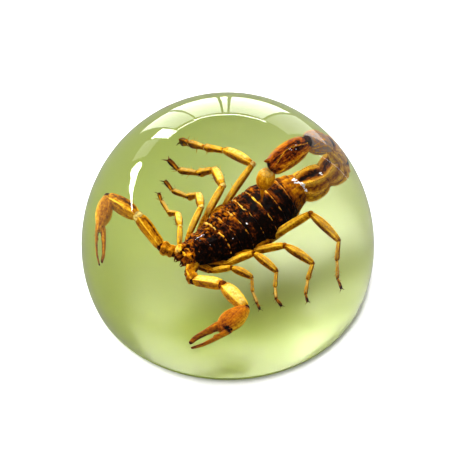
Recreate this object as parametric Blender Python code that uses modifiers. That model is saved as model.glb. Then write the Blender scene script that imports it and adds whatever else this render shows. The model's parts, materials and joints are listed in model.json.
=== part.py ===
"""A dome paperweight: a real scorpion cast in clear resin on a green glow-in-the-dark base layer.

Run it with  blender --background --python part.py  or from Blender's text editor.
The frame is +Z up with the origin at the middle of the flat underside. The clear dome is parted
in two round a pocket that follows the scorpion. The scorpion is laid out in a frame of its own,
+X towards its head, +Y to its left, heights above the underside, and then turned into place.
"""

import math

import bmesh
import bpy
from mathutils import Matrix, Vector

MM = 0.001

# The dome, in millimetres: a tall crown above its widest girth, and a tucked-in foot below.
GIRTH_RADIUS = 40.0
FOOT_RADIUS = 38.6
GIRTH_HEIGHT = 9.8
CROWN_RISE = 43.7
FOOT_DROP = GIRTH_HEIGHT / math.sqrt(1 - (FOOT_RADIUS / GIRTH_RADIUS) ** 2)
BASE_THICKNESS = 1.5
BASE_EDGE = 0.5
PARTING_HEIGHT = 12.6
GAP = 0.3
AROUND = 44
CROWN_STEPS = 9
SIDE_STEP = 2.8

# The scorpion's place in the resin: the front of its head, and the way that the head points.
HEAD_PLACE = (-8.7, -4.3)
HEADING = 216.8

# Cuticle pieces: sides and rings of a limb joint and of a body joint, and the pocket's allowance.
LIMB_SIDES = 6
LIMB_RINGS = 4
BODY_SIDES = 10
BODY_RINGS = 5
POCKET_SIDES = 6
POCKET_RINGS = 4
POCKET_SCALE = 1.18
CLEARANCE = 0.65
OVERRUN = 0.08
END_FULLNESS = 0.6

# Trunk, from the head back: (front x, back x, width, height, middle y, middle z).
CARAPACE = (-0.6, -8.3, 7.4, 5.0, 0.4, 12.6)
TERGITES = (
    (-7.2, -10.2, 8.0, 5.4, 0.6, 12.6),
    (-9.2, -12.4, 8.9, 5.8, 0.6, 12.7),
    (-11.3, -14.9, 9.6, 6.0, 0.5, 12.7),
    (-13.7, -17.5, 10.2, 6.2, 0.2, 12.6),
    (-16.2, -20.1, 10.3, 6.2, -0.2, 12.5),
    (-18.7, -22.6, 9.3, 5.8, -0.6, 12.4),
    (-21.0, -25.6, 6.6, 4.6, -1.0, 12.3),
)
CHELICERA = {"length": 2.6, "width": 1.5, "apart": 0.85, "height": 12.6}
EYES = {"x": -3.9, "y": 0.4, "z": 15.0, "size": 1.3}
COMB = {"start": (-6.4, 0.6, 10.2), "end": (-9.0, 4.2, 9.6), "width": 1.2, "depth": 0.8}

# Legs, first to fourth pair. Lengths: femur, patella, tibia, basitarsus, tarsus. Widths likewise.
LEG_LENGTHS = {
    1: (3.7, 4.2, 2.7, 3.1, 1.5),
    2: (5.4, 5.5, 3.0, 2.8, 2.0),
    3: (5.8, 6.4, 3.1, 3.2, 1.9),
    4: (8.2, 7.5, 3.7, 3.8, 2.7),
}
LEG_WIDTHS = (1.5, 1.7, 1.05, 0.85, 0.72)
LEG_SCALE = {1: 0.85, 2: 0.95, 3: 1.0, 4: 1.1}
COXA_WIDTH = 1.7
COXA_ROOTS = {1: (-3.2, 1.6), 2: (-4.4, 1.8), 3: (-6.0, 2.0), 4: (-7.8, 2.0)}
COXA_HEIGHT = 10.4
# Each leg's pose: hip place, then each joint's heading from the head and its rise, in degrees.
LEG_POSES = {
    "left_1": ((-3.9, 4.6, 10.7), (138, 127, 57, 73, 75), (20, -22, -52, -19, -9)),
    "left_2": ((-7.0, 4.9, 11.0), (149, 111, 46, 61, 89), (26, -25, -51, -21, -13)),
    "left_3": ((-12.3, 5.5, 11.4), (144, 118, 31, 50, 73), (15, -23, -44, -27, -11)),
    "left_4": ((-16.6, 4.9, 11.8), (161, 111, 45, 64, 86), (27, -29, -49, -31, -21)),
    "right_1": ((-3.6, -4.0, 10.4), (-132, -127, -94, -113, -121), (16, -19, -45, -13, -9)),
    "right_2": ((-6.3, -4.8, 10.6), (-155, -125, -84, -77, -105), (29, -32, -50, -18, -13)),
    "right_3": ((-11.1, -6.2, 10.8), (-160, -114, -61, -65, -94), (29, -32, -45, -28, -11)),
    "right_4": ((-14.6, -6.1, 10.9), (-173, -86, -66, -94, -88), (38, -32, -37, -44, -24)),
}

# Pincer arms: coxa with trochanter, femur, patella, palm and fingers.
ARM_LENGTHS = (2.8, 7.0, 7.4, 8.5, 10.0)
ARM_WIDTHS = (2.3, 2.1, 2.5, 4.0)
ARM_POSES = {
    "left": ((0.0, 2.5, 11.5), (70, 108, 93, 16, -2), (-2, 20, -13, -9, -3)),
    "right": ((-0.7, -1.8, 12.2), (-60, -94, -89, 24, 36), (8, 14, -17, 1, -6)),
}
ARM_ROOT = (-2.6, 1.4, 11.8)
FINGER_WIDTH = 1.1
FINGER_SPREAD = 0.95
FINGER_BOW = 0.5
FINGER_ROOT = 1.6

# Tail: each joint's length, width, height, heading and rise in degrees. It curls over the back,
# so a rise past 90 points forwards again.
TAIL_ROOT = (-24.6, -1.0, 12.9)
TAIL_JOINTS = (
    (5.5, 4.9, 4.4, 180, -20),
    (4.7, 4.8, 4.4, 180, 31),
    (6.0, 4.5, 4.2, 180, 90),
    (6.5, 4.2, 4.0, 183, 131),
    (8.5, 3.9, 3.7, 184, 184),
)
STING_BULB = {"length": 4.7, "width": 3.1, "depth": 3.1, "heading": 197, "rise": 231}
STING = {"length": 3.5, "width": 0.75, "heading": 177, "rise": 260}


def material(name, colour, roughness, alpha=1.0):
    made = bpy.data.materials.new(name)
    made.use_nodes = True
    shader = made.node_tree.nodes["Principled BSDF"]
    shader.inputs["Base Color"].default_value = (*colour, 1.0)
    shader.inputs["Roughness"].default_value = roughness
    shader.inputs["Alpha"].default_value = alpha
    return made


def collection(name):
    made = bpy.data.collections.new(name)
    bpy.context.scene.collection.children.link(made)
    return made


def add_object(name, mesh, into, finish=None):
    made = bpy.data.objects.new(name, mesh)
    into.objects.link(made)
    if finish:
        mesh.materials.append(finish)
    return made


def hide_helper(helper):
    helper.hide_render = True
    helper.display_type = "WIRE"


def dome_radius(height):
    """The dome's radius at a height, in millimetres: an ellipse's quarter above and below the girth."""
    above = height - GIRTH_HEIGHT
    reach = CROWN_RISE if above > 0 else FOOT_DROP
    return GIRTH_RADIUS * math.sqrt(max(0.0, 1 - (above / reach) ** 2))


def turned(name, profile, into, finish):
    """A solid turned about Z from (radius, height) points that run down its outer side."""
    mesh = bpy.data.meshes.new(name)
    points = [(radius * MM, 0.0, height * MM) for radius, height in profile]
    mesh.from_pydata(points, [(i, i + 1) for i in range(len(points) - 1)], [])
    made = add_object(name, mesh, into, finish)
    screw = made.modifiers.new("turn", "SCREW")
    screw.steps = AROUND
    screw.render_steps = AROUND
    screw.use_merge_vertices = True
    screw.merge_threshold = 0.00001
    screw.use_smooth_shade = True
    return made


def crown_profile(lowest):
    """Down the outer side from the top of the dome to a height, and in to the axis."""
    start = math.asin((lowest - GIRTH_HEIGHT) / CROWN_RISE)
    turns = [math.pi / 2 + (start - math.pi / 2) * i / CROWN_STEPS for i in range(CROWN_STEPS + 1)]
    heights = [GIRTH_HEIGHT + CROWN_RISE * math.sin(turn) for turn in turns]
    side = [(dome_radius(height), height) for height in heights[1:]]
    return [(0.0, heights[0]), *side, (0.0, lowest)]


def band_profile(highest, lowest):
    """A slice of the dome between two heights."""
    steps = max(1, round((highest - lowest) / SIDE_STEP))
    heights = [highest + (lowest - highest) * i / steps for i in range(steps + 1)]
    side = [(dome_radius(height), height) for height in heights]
    return [(0.0, highest), *side, (0.0, lowest)]


def base_profile():
    """The green layer, with a small bevel round its lower edge."""
    return [
        (0.0, BASE_THICKNESS),
        (dome_radius(BASE_THICKNESS), BASE_THICKNESS),
        (dome_radius(BASE_EDGE), BASE_EDGE),
        (dome_radius(0.0) - BASE_EDGE, 0.0),
        (0.0, 0.0),
    ]


def in_place():
    """From the scorpion's own frame, in millimetres, to the part's frame, in metres."""
    turn = Matrix.Rotation(math.radians(HEADING), 4, "Z")
    return Matrix.Scale(MM, 4) @ Matrix.Translation((*HEAD_PLACE, 0.0)) @ turn


def direction(heading, rise):
    heading, rise = math.radians(heading), math.radians(rise)
    flat = math.cos(rise)
    return Vector((flat * math.cos(heading), flat * math.sin(heading), math.sin(rise)))


def chain(start, lengths, headings, rises):
    """The joints' places along a limb, from its root to its tip."""
    places = [Vector(start)]
    for length, heading, rise in zip(lengths, headings, rises):
        places.append(places[-1] + length * direction(heading, rise))
    return places


def side_axes(along):
    """The width's and the depth's directions of a limb that runs along a vector."""
    upright = Vector((0, 0, 1)) if abs(along.z) < 0.999 else Vector((1, 0, 0))
    across = along.cross(upright).normalized()
    return across, across.cross(along).normalized()


def joint(spec, into, sides=LIMB_SIDES, rings=LIMB_RINGS, grow=0.0):
    """One hardened ring of the body or a limb: a blunt spindle between two places.

    spec holds start and end, width, depth, and the optional taper (end over start) and bow.
    grow widens it all round, for the pocket.
    """
    start, end = Vector(spec["start"]), Vector(spec["end"])
    along = (end - start).normalized()
    across, upward = side_axes(along)
    overrun = OVERRUN * spec["width"] + grow
    half = (end - start).length / 2 + overrun
    middle = (start + end) / 2
    taper = spec.get("taper", 1.0)
    grid = bmesh.new()
    bmesh.ops.create_uvsphere(grid, u_segments=sides, v_segments=rings, radius=1.0)
    for vertex in grid.verts:
        turn = math.atan2(vertex.co.y, vertex.co.x)
        reach = max(0.0, 1 - vertex.co.z**2) ** 0.27
        vertex.co.z = math.copysign(abs(vertex.co.z) ** END_FULLNESS, vertex.co.z)
        share = (1 + vertex.co.z) / 2
        width = (spec["width"] * (1 + (taper - 1) * share) / 2 + grow) * reach
        depth = (spec["depth"] * (1 + (taper - 1) * share) / 2 + grow) * reach
        bow = spec.get("bow", 0.0) * (1 - vertex.co.z**2)
        vertex.co = (
            middle
            + along * half * vertex.co.z
            + across * (width * math.cos(turn) + bow)
            + upward * depth * math.sin(turn)
        )
    bmesh.ops.transform(grid, matrix=in_place(), verts=grid.verts)
    bmesh.ops.recalc_face_normals(grid, faces=grid.faces)
    mesh = bpy.data.meshes.new(spec["name"])
    grid.to_mesh(mesh)
    grid.free()
    made = add_object(spec["name"], mesh, into)
    hide_helper(made)
    return made


def trunk_specs():
    """The carapace, the seven back plates and the two small jaws."""
    specs = []
    for number, (front, back, width, height, y, z) in enumerate((CARAPACE, *TERGITES)):
        specs.append(
            {
                "name": "carapace" if number == 0 else f"back_plate_{number}",
                "start": (front, y * min(1.0, abs(front) / 4), z),
                "end": (back, y, z),
                "width": width,
                "depth": height,
                "taper": 0.82 if number == len(TERGITES) else 1.06,
            }
        )
    jaw = CHELICERA
    for side in (1, -1):
        specs.append(
            {
                "name": f"jaw_{side}",
                "start": (-1.6, side * jaw["apart"], jaw["height"]),
                "end": (jaw["length"] - 1.6, side * jaw["apart"], jaw["height"] - 0.4),
                "width": jaw["width"],
                "depth": jaw["width"],
                "taper": 0.75,
            }
        )
    return specs


def eye_spec():
    return {
        "name": "eye_mound",
        "start": (EYES["x"] + EYES["size"] / 2, EYES["y"], EYES["z"]),
        "end": (EYES["x"] - EYES["size"] / 2, EYES["y"], EYES["z"]),
        "width": EYES["size"],
        "depth": 0.8 * EYES["size"],
    }


def comb_specs():
    """The pair of combs under the body."""
    specs = []
    for side in (1, -1):
        specs.append(
            {
                "name": f"comb_{side}",
                "start": (COMB["start"][0], side * COMB["start"][1], COMB["start"][2]),
                "end": (COMB["end"][0], side * COMB["end"][1], COMB["end"][2]),
                "width": COMB["width"],
                "depth": COMB["depth"],
                "taper": 0.7,
            }
        )
    return specs


def leg_specs(name):
    side, pair = name.split("_")
    pair, sign = int(pair), 1 if side == "left" else -1
    hip, headings, rises = LEG_POSES[name]
    places = chain(hip, LEG_LENGTHS[pair], headings, rises)
    root = COXA_ROOTS[pair]
    scale = LEG_SCALE[pair]
    specs = [
        {
            "name": f"{name}_coxa",
            "start": (root[0], sign * root[1], COXA_HEIGHT),
            "end": places[0],
            "width": COXA_WIDTH * scale,
            "depth": COXA_WIDTH * scale,
            "taper": 0.7,
        }
    ]
    for number, width in enumerate(LEG_WIDTHS):
        specs.append(
            {
                "name": f"{name}_{number + 1}",
                "start": places[number],
                "end": places[number + 1],
                "width": 0.8 * width * scale,
                "depth": width * scale,
                "taper": 0.82,
            }
        )
    return specs


def finger_specs(name, palm_end, tip):
    """The fixed and the moving finger, bowed apart."""
    along = (tip - palm_end).normalized()
    across, _ = side_axes(along)
    root = palm_end - along * FINGER_ROOT
    return [
        {
            "name": f"{name}_finger_{sign}",
            "start": root + across * sign * FINGER_SPREAD,
            "end": tip + across * sign * 0.75 * FINGER_SPREAD,
            "width": FINGER_WIDTH,
            "depth": FINGER_WIDTH,
            "taper": 0.55,
            "bow": sign * FINGER_BOW,
        }
        for sign in (1, -1)
    ]


def arm_specs(side):
    start, headings, rises = ARM_POSES[side]
    places = chain(start, ARM_LENGTHS, headings, rises)
    name = f"{side}_arm"
    sign = 1 if side == "left" else -1
    specs = [
        {
            "name": f"{name}_0",
            "start": (ARM_ROOT[0], sign * ARM_ROOT[1], ARM_ROOT[2]),
            "end": places[0] + 0.4 * (places[1] - places[0]),
            "width": ARM_WIDTHS[0],
            "depth": ARM_WIDTHS[0],
        }
    ]
    specs += [
        {
            "name": f"{name}_{number + 1}",
            "start": places[number],
            "end": places[number + 1],
            "width": width,
            "depth": 0.92 * width,
            "taper": 0.8 if number == 3 else 1.1,
        }
        for number, width in enumerate(ARM_WIDTHS)
    ]
    return specs + finger_specs(name, places[4], places[5])


def tail_specs():
    ends = [[piece[key] for key in ("length", "heading", "rise")] for piece in (STING_BULB, STING)]
    joints = [(length, heading, rise) for length, _, _, heading, rise in TAIL_JOINTS] + ends
    places = chain(TAIL_ROOT, *zip(*joints))
    specs = [
        {
            "name": f"tail_{number + 1}",
            "start": places[number],
            "end": places[number + 1],
            "width": width,
            "depth": height,
            "taper": 1.08,
        }
        for number, (_, width, height, _, _) in enumerate(TAIL_JOINTS)
    ]
    bulb, sting = len(TAIL_JOINTS), len(TAIL_JOINTS) + 1
    specs.append(
        {
            "name": "sting_bulb",
            "start": places[bulb],
            "end": places[bulb + 1],
            "width": STING_BULB["width"],
            "depth": STING_BULB["depth"],
            "taper": 0.7,
        }
    )
    specs.append(
        {
            "name": "sting",
            "start": places[sting] - 0.8 * direction(STING["heading"], STING["rise"]),
            "end": places[sting + 1],
            "width": STING["width"],
            "depth": STING["width"],
            "taper": 0.3,
        }
    )
    return specs


def boolean(target, operation, helpers):
    cut = target.modifiers.new(operation.lower(), "BOOLEAN")
    cut.operation = operation
    cut.operand_type = "COLLECTION"
    cut.collection = helpers
    cut.solver = "EXACT"


def build_scorpion(into, finish):
    """The whole animal as one solid: a back plate joined with every other plate and limb joint."""
    helpers = collection("scorpion_pieces")
    body = trunk_specs()
    for spec in body[:-2]:
        joint(spec, helpers, BODY_SIDES, BODY_RINGS)
    for spec in body[-2:] + [eye_spec(), *comb_specs()]:
        joint(spec, helpers)
    for name in LEG_POSES:
        for spec in leg_specs(name):
            joint(spec, helpers)
    for side in ARM_POSES:
        for spec in arm_specs(side):
            joint(spec, helpers, 8 if spec["width"] > 2 else LIMB_SIDES)
    for spec in tail_specs():
        joint(spec, helpers, 8 if spec["width"] > 2 else LIMB_SIDES)
    scorpion = helpers.objects["back_plate_4"]
    helpers.objects.unlink(scorpion)
    into.objects.link(scorpion)
    scorpion.name = "scorpion"
    scorpion.hide_render = False
    scorpion.display_type = "TEXTURED"
    scorpion.data.materials.append(finish)
    boolean(scorpion, "UNION", helpers)
    return scorpion


def room(first, last, width=None, depth=None):
    """One pocket piece that spans from one joint's start to a later joint's end."""
    return {
        "name": f"pocket_{first['name']}",
        "start": first["start"],
        "end": last["end"],
        "width": POCKET_SCALE * (width or first["width"]),
        "depth": POCKET_SCALE * (depth or first["depth"]),
    }


def pocket_specs():
    """The room for the scorpion, in fewer and plainer pieces than the animal."""
    body = {"name": "body", "start": (0.2, 0.2, 12.3), "end": (-25.9, -0.4, 12.3)}
    specs = [room(body, body, 13.4, 7.2)]
    for name in LEG_POSES:
        _, femur, patella, tibia, _, tarsus = leg_specs(name)
        specs += [room(femur, femur), room(patella, patella), room(tibia, tarsus, 1.6, 2.2)]
    for side in ARM_POSES:
        start, headings, rises = ARM_POSES[side]
        palm_end, tip = chain(start, ARM_LENGTHS, headings, rises)[4:]
        specs += [room(spec, spec) for spec in arm_specs(side)[1:5]]
        fingers = {"name": f"{side}_fingers", "start": palm_end, "end": tip}
        specs.append(room(fingers, fingers, 4.3, 1.8))
    return specs + [room(spec, spec) for spec in tail_specs()]


def build_dome(into, finish):
    """The clear dome's two halves, with the pocket cut from both."""
    helpers = collection("pocket_cutters")
    for spec in pocket_specs():
        joint(spec, helpers, POCKET_SIDES, POCKET_RINGS, CLEARANCE)
    upper = turned("resin_dome_upper", crown_profile(PARTING_HEIGHT + GAP / 2), into, finish)
    lower = turned(
        "resin_dome_lower",
        band_profile(PARTING_HEIGHT - GAP / 2, BASE_THICKNESS + GAP),
        into,
        finish,
    )
    for half in (upper, lower):
        boolean(half, "DIFFERENCE", helpers)


def main():
    for old in list(bpy.data.objects):
        bpy.data.objects.remove(old)
    paperweight = collection("scorpion_paperweight")
    clear = material("clear_cast_resin", (0.86, 0.90, 0.78), 0.03, 0.3)
    green = material("glow_pigment_resin", (0.56, 0.64, 0.26), 0.45)
    cuticle = material("golden_cuticle", (0.48, 0.26, 0.06), 0.35)
    build_dome(paperweight, clear)
    turned("glow_base_layer", base_profile(), paperweight, green)
    build_scorpion(paperweight, cuticle)


main()
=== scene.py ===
"""Looks for a dome paperweight: a golden scorpion cast in clear resin over a green glow-pigment layer.

The part's frame is in metres, +Z up. The scorpion is laid out in a frame of its own, in millimetres,
+X towards its head, +Y to its left, heights above the dome's underside, and then turned into place.
"""

import json
import math

import bmesh
import bpy
import numpy as np
from bpy.props import FloatProperty, FloatVectorProperty, IntProperty, PointerProperty
from mathutils import Matrix, Vector, noise
from mathutils.bvhtree import BVHTree

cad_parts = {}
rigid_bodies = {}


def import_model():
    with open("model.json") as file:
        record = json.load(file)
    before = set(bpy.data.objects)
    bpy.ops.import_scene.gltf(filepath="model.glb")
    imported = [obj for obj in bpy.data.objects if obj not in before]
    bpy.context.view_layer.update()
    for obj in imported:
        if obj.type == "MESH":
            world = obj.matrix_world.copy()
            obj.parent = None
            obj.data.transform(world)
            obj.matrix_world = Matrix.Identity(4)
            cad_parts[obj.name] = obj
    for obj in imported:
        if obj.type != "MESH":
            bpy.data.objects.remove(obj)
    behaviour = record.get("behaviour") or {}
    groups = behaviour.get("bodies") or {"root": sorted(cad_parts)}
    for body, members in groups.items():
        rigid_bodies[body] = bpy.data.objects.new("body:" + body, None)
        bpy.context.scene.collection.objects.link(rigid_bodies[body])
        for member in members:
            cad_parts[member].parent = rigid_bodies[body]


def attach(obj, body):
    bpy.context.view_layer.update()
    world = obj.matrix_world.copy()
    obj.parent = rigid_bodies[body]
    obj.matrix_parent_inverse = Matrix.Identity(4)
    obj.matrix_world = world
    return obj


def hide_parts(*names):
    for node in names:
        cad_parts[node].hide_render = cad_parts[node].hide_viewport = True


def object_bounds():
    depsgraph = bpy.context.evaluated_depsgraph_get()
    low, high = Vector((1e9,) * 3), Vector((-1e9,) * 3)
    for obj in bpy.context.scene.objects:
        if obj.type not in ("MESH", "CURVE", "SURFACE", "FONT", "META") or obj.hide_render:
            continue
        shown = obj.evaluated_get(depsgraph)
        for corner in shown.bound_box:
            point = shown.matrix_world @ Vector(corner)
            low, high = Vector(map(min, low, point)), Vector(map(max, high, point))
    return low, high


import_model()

bl_info = {
    "name": "Scorpion Dome",
    "version": (1, 0, 0),
    "blender": (4, 5, 0),
    "location": "View3D > Sidebar > Scorpion Dome",
    "description": "Finishes a scorpion cast in a clear resin dome",
    "category": "Object",
}

MM = 0.001
CAD_BOX = [list(map(float, corner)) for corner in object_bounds()]

# The dome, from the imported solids: its widest radius and its top, in millimetres.
GIRTH_RADIUS = (CAD_BOX[1][0] - CAD_BOX[0][0]) / 2 / MM
CROWN_TOP = CAD_BOX[1][2] / MM
FOOT_RADIUS = 38.6
GIRTH_HEIGHT = 9.8

# The scorpion's place: the front of its head, and the way that the head points, in degrees.
HEAD_PLACE = (-8.7, -4.3)
HEADING = 216.8
HEAD_TURN = np.array(Matrix.Rotation(math.radians(HEADING), 3, "Z"))

# The trunk from the front of the head back, in millimetres: distance back, the middle's place to
# the left, half the width, the height of the back and the height of the belly.
TRUNK = (
    (0.3, 0.1, 1.75, 14.2, 11.3),
    (1.2, 0.2, 2.2, 14.6, 10.9),
    (2.5, 0.3, 2.7, 14.9, 10.5),
    (4.5, 0.4, 3.25, 15.1, 10.2),
    (8.0, 0.5, 3.95, 15.4, 9.9),
    (12.0, 0.6, 4.75, 15.7, 9.8),
    (16.0, 0.4, 5.15, 15.8, 9.7),
    (18.0, 0.1, 5.15, 15.7, 9.6),
    (20.0, -0.3, 4.85, 15.5, 9.5),
    (22.0, -0.6, 4.1, 15.2, 9.5),
    (24.0, -0.9, 2.9, 14.8, 10.0),
    (25.7, -1.0, 2.0, 14.4, 10.7),
)
CARAPACE_BACK = 8.3
BACK_PLATE_ENDS = (10.3, 12.5, 15.0, 17.6, 20.1, 22.7, 25.6)
EDGE_STRENGTH = (0.5, 0.8, 1.0, 1.0, 0.6, 0.25, 0.1)
BELLY_PLATE_ENDS = (10.4, 13.4, 16.4, 19.5, 22.6, 25.5)
WIDEST_SHARE = 0.42
# How far forward the near-black of the back reaches across it: distance back, and the share of
# the half width, positive to the left, from which it is black.
BLACK_EDGE = (
    (0.0, 1.1),
    (1.6, 0.7),
    (3.0, 0.05),
    (5.0, -0.25),
    (8.0, 0.0),
    (12.0, -0.02),
    (15.0, -0.22),
    (18.0, -0.42),
    (20.0, -0.4),
    (21.5, -0.1),
    (23.2, 0.4),
    (24.5, 0.9),
    (26.0, 1.2),
)

# Legs, first to fourth pair. Lengths: femur, patella, tibia, basitarsus, tarsus. Depths likewise.
LEG_LENGTHS = {
    1: (3.7, 4.2, 2.7, 3.1, 1.5),
    2: (5.4, 5.5, 3.0, 2.8, 2.0),
    3: (5.8, 6.4, 3.1, 3.2, 1.9),
    4: (8.2, 7.5, 3.7, 3.8, 2.7),
}
LEG_DEPTHS = (1.55, 1.75, 1.05, 0.85, 0.72)
LEG_SCALE = {1: 0.85, 2: 0.95, 3: 1.0, 4: 1.1}
# Legs that are slimmer than their pair's scale says.
SLIM_LEGS = {"right_4": 0.8}
COXA_WIDTH = 1.7
COXA_ROOTS = {1: (-3.2, 1.6), 2: (-4.4, 1.8), 3: (-6.0, 2.0), 4: (-7.8, 2.0)}
COXA_HEIGHT = 10.4
# Where the trochanters that stand out beside the trunk begin.
TROCHANTERS = {"left_4": (-12.9, 5.3, 12.0), "left_3": (-8.9, 5.0, 11.9), "right_4": (-11.4, -5.0, 11.6)}
# Each leg's pose: hip place, then each joint's heading from the head and its rise, in degrees.
LEG_POSES = {
    "left_1": ((-3.9, 4.6, 10.7), (138, 127, 57, 73, 75), (20, -22, -52, -19, -9)),
    "left_2": ((-7.0, 4.9, 11.0), (149, 111, 46, 61, 89), (26, -25, -51, -21, -13)),
    "left_3": ((-12.3, 5.5, 11.4), (144, 118, 31, 50, 73), (15, -23, -44, -27, -11)),
    "left_4": ((-16.6, 4.9, 11.8), (161, 111, 45, 64, 86), (27, -29, -49, -31, -21)),
    "right_1": ((-3.6, -4.0, 10.4), (-132, -127, -94, -113, -121), (16, -19, -45, -13, -9)),
    "right_2": ((-6.3, -4.8, 10.6), (-155, -125, -84, -77, -105), (29, -32, -50, -18, -13)),
    "right_3": ((-11.1, -6.2, 10.8), (-160, -114, -61, -65, -94), (29, -32, -45, -28, -11)),
    "right_4": ((-14.6, -6.1, 10.9), (-169, -84, -70, -86, -101), (34, -31, -36, -47, -58)),
}

# Pincer arms: coxa with trochanter, femur, patella, palm and fingers.
ARM_LENGTHS = (2.8, 7.0, 7.4, 8.5, 10.0)
ARM_POSES = {
    "left": ((0.0, 2.5, 11.5), (70, 108, 93, 16, -2), (-2, 20, -13, -9, -3)),
    "right": ((-0.7, -1.8, 12.2), (-60, -94, -89, 24, 36), (8, 14, -17, 1, -6)),
}
ARM_ROOT = (-2.6, 1.4, 11.8)
# How far the fixed and the moving finger's roots lie from the palm's middle line.
FINGER_SPREAD = {"left": (0.9, 1.3), "right": (0.5, 0.5)}
FINGER_ROOT = 1.7
# The fixed and the moving finger of each pincer: heading, rise and length.
FINGERS = {"left": ((6, -3, 11.1), (4, -8, 12.0)), "right": ((39, -4, 10.0), (36, -6, 10.8))}

# Tail: each joint's length, width, height, heading and rise in degrees. It curls over the back,
# so a rise past 90 points forwards again.
TAIL_ROOT = (-24.6, -1.0, 12.9)
TAIL_JOINTS = (
    (5.5, 4.9, 4.4, 180, -20),
    (4.7, 4.8, 4.4, 180, 31),
    (6.0, 4.5, 4.2, 180, 90),
    (6.5, 4.2, 4.0, 183, 131),
    (9.1, 3.9, 3.7, 184, 184),
)
STING_BULB = {"length": 4.1, "width": 2.8, "depth": 2.9, "heading": 197, "rise": 247}
STING = {"length": 3.4, "heading": 174, "rise": 258}
# How far past the last ring's end the bulb hangs.
BULB_REACH = 0.6
# The keels round a tail joint, in degrees from its left side with the back at 90, and how far
# each stands out, in millimetres.
UPPER_KEELS = ((58, 0.34), (122, 0.34), (6, 0.26), (174, 0.26))
TAIL_KEELS = (*UPPER_KEELS, (-36, 0.16), (216, 0.16), (-70, 0.12), (250, 0.12))
LAST_KEELS = ((50, 0.2), (130, 0.2), (-18, 0.26), (206, 0.3), (-90, 0.04))
# The hollows between keels likewise, and how deep each is.
TAIL_HOLLOWS = ((90, 0.34), (31, 0.17), (149, 0.17), (-13, 0.08), (193, 0.08))
LAST_HOLLOWS = ((90, 0.2), (20, 0.1), (160, 0.1))
# Each joint's brownness, redness, and how much darker its hollows are.
TAIL_TONES = (
    (0.38, 0.12, 0.44),
    (0.34, 0.14, 0.36),
    (0.3, 0.12, 0.34),
    (0.42, 0.4, 0.24),
    (0.44, 0.9, 0.26),
)
# How much of each joint a grey veil clouds: partly a film of air and partly a painted reflection of the dome's rim.
HAZE_AND_REFLECTION = (0.0, 0.0, 0.2, 0.85, 0.0)

# Outlines of joints: share of the length, then share of the full width and depth.
SPINDLE = ((0, 0.6), (0.15, 0.85), (0.45, 1.0), (0.8, 0.93), (1, 0.7))
LEAF = ((0, 0.45), (0.15, 0.84), (0.4, 1.12), (0.72, 0.98), (1, 0.62))
ROD = ((0, 0.62), (0.2, 0.88), (0.6, 0.96), (0.9, 1.08), (1, 0.86))
SHAFT = ((0, 0.78), (0.3, 0.92), (0.85, 1.05), (1, 0.9))
KNOB = ((0, 0.8), (0.35, 1.1), (0.7, 1.0), (1, 0.8))
KNUCKLE = ((0, 0.6), (0.2, 0.98), (0.4, 0.86), (0.68, 1.14), (0.88, 0.9), (1, 0.6))
PRISM = ((0, 0.62), (0.1, 0.88), (0.35, 1.02), (0.8, 1.06), (1, 0.78))
PALM = ((0, 0.38), (0.12, 0.62), (0.3, 0.9), (0.52, 1.05), (0.76, 0.88), (0.92, 0.66), (1, 0.5))
SLIM_PALM = ((0, 0.36), (0.14, 0.66), (0.34, 0.98), (0.55, 1.04), (0.76, 0.72), (0.92, 0.44), (1, 0.34))
RING = ((0, 0.5), (0.12, 0.78), (0.42, 1.08), (0.7, 1.06), (0.9, 0.86), (1, 0.66))
LAST_RING = ((0, 0.5), (0.12, 0.78), (0.38, 1.06), (0.65, 1.08), (0.88, 0.88), (1, 0.66))
BULB = ((0, 0.62), (0.15, 0.95), (0.4, 1.12), (0.65, 1.08), (0.85, 0.8), (1, 0.42))
LEG_FORMS = (SPINDLE, LEAF, ROD, SHAFT, SHAFT)

# The marks that every skin carries for its finish, from 0 to 1: how brown it is, how red, how
# bleached by air behind it and whitened as a painted highlight, how crumbled, how pitted, how bristly,
# and how clouded by a thin film of air and greyed as a painted reflection.
MARKS = ("brown", "rust", "bleach", "crumbly", "dotted", "bristly", "hazy")

# The camera: its height above the horizon seen from the girth, in degrees, and where the girth's
# centre lies in a picture 460 pixels square.
CAMERA_RISE = 49.0
CAMERA_DISTANCE = 480.0
PICTURE = 460.0
GIRTH_PIXEL = (227.7, 245.5)
GIRTH_PIXELS = 145.9

# Window panes that the dome mirrors: azimuths from +Y towards +X and elevations that each lies
# between, in degrees, and its brightness.
WINDOWS = (
    ("far_pane_left", -15.6, -2.9, -14, 18.3, 3.5),
    ("far_pane_narrow", -1.9, 0.0, -14, 18.3, 3.9),
    ("far_pane_right", 1.0, 17.4, -14, 18.3, 3.3),
    ("far_pane_outer_left", -28, -16.6, -12, 19, 2.8),
    ("far_pane_bright", -36, -29, 8, 24, 9.0),
    ("far_pane_outer_right", 18.8, 33, -14, 19, 1.2),
    ("far_strip", -16, 19, 20.8, 22.2, 11.0),
    ("far_strip_left", -27.5, -17, 21.4, 22.8, 8.0),
    ("spike_top", -61, -52, 8.5, 17, 13.0),
    ("spike_middle", -73, -54, 10.5, 16, 13.0),
    ("spike_long", -84, -55, 12.2, 14.6, 13.0),
    ("side_pane_dim", -49, -37, 5, 17, 1.2),
    ("side_bar", 45.6, 46.2, -17, 6, 2.0),
)
# Softboxes that light the dome's inside without being mirrored on its crown, likewise.
SOFTBOXES = (
    ("softbox_key", -60, -26, 32, 54, 8.5),
    ("softbox_high", -58, -22, 54, 68, 9.0),
    ("softbox_far", -24, 24, 26, 50, 4.8),
    ("softbox_side", -98, -58, 30, 44, 6.5),
    ("softbox_front", 120, 240, 25, 70, 0.6),
    ("overhead", -35, 35, 68, 121, 0.9),
)
# Panes that are mirrored and yet leave the dome's inside alone, so that their streaks don't burn in.
ONLY_MIRRORED = ("far_pane_bright", "spike_top", "spike_middle", "spike_long")
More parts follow.
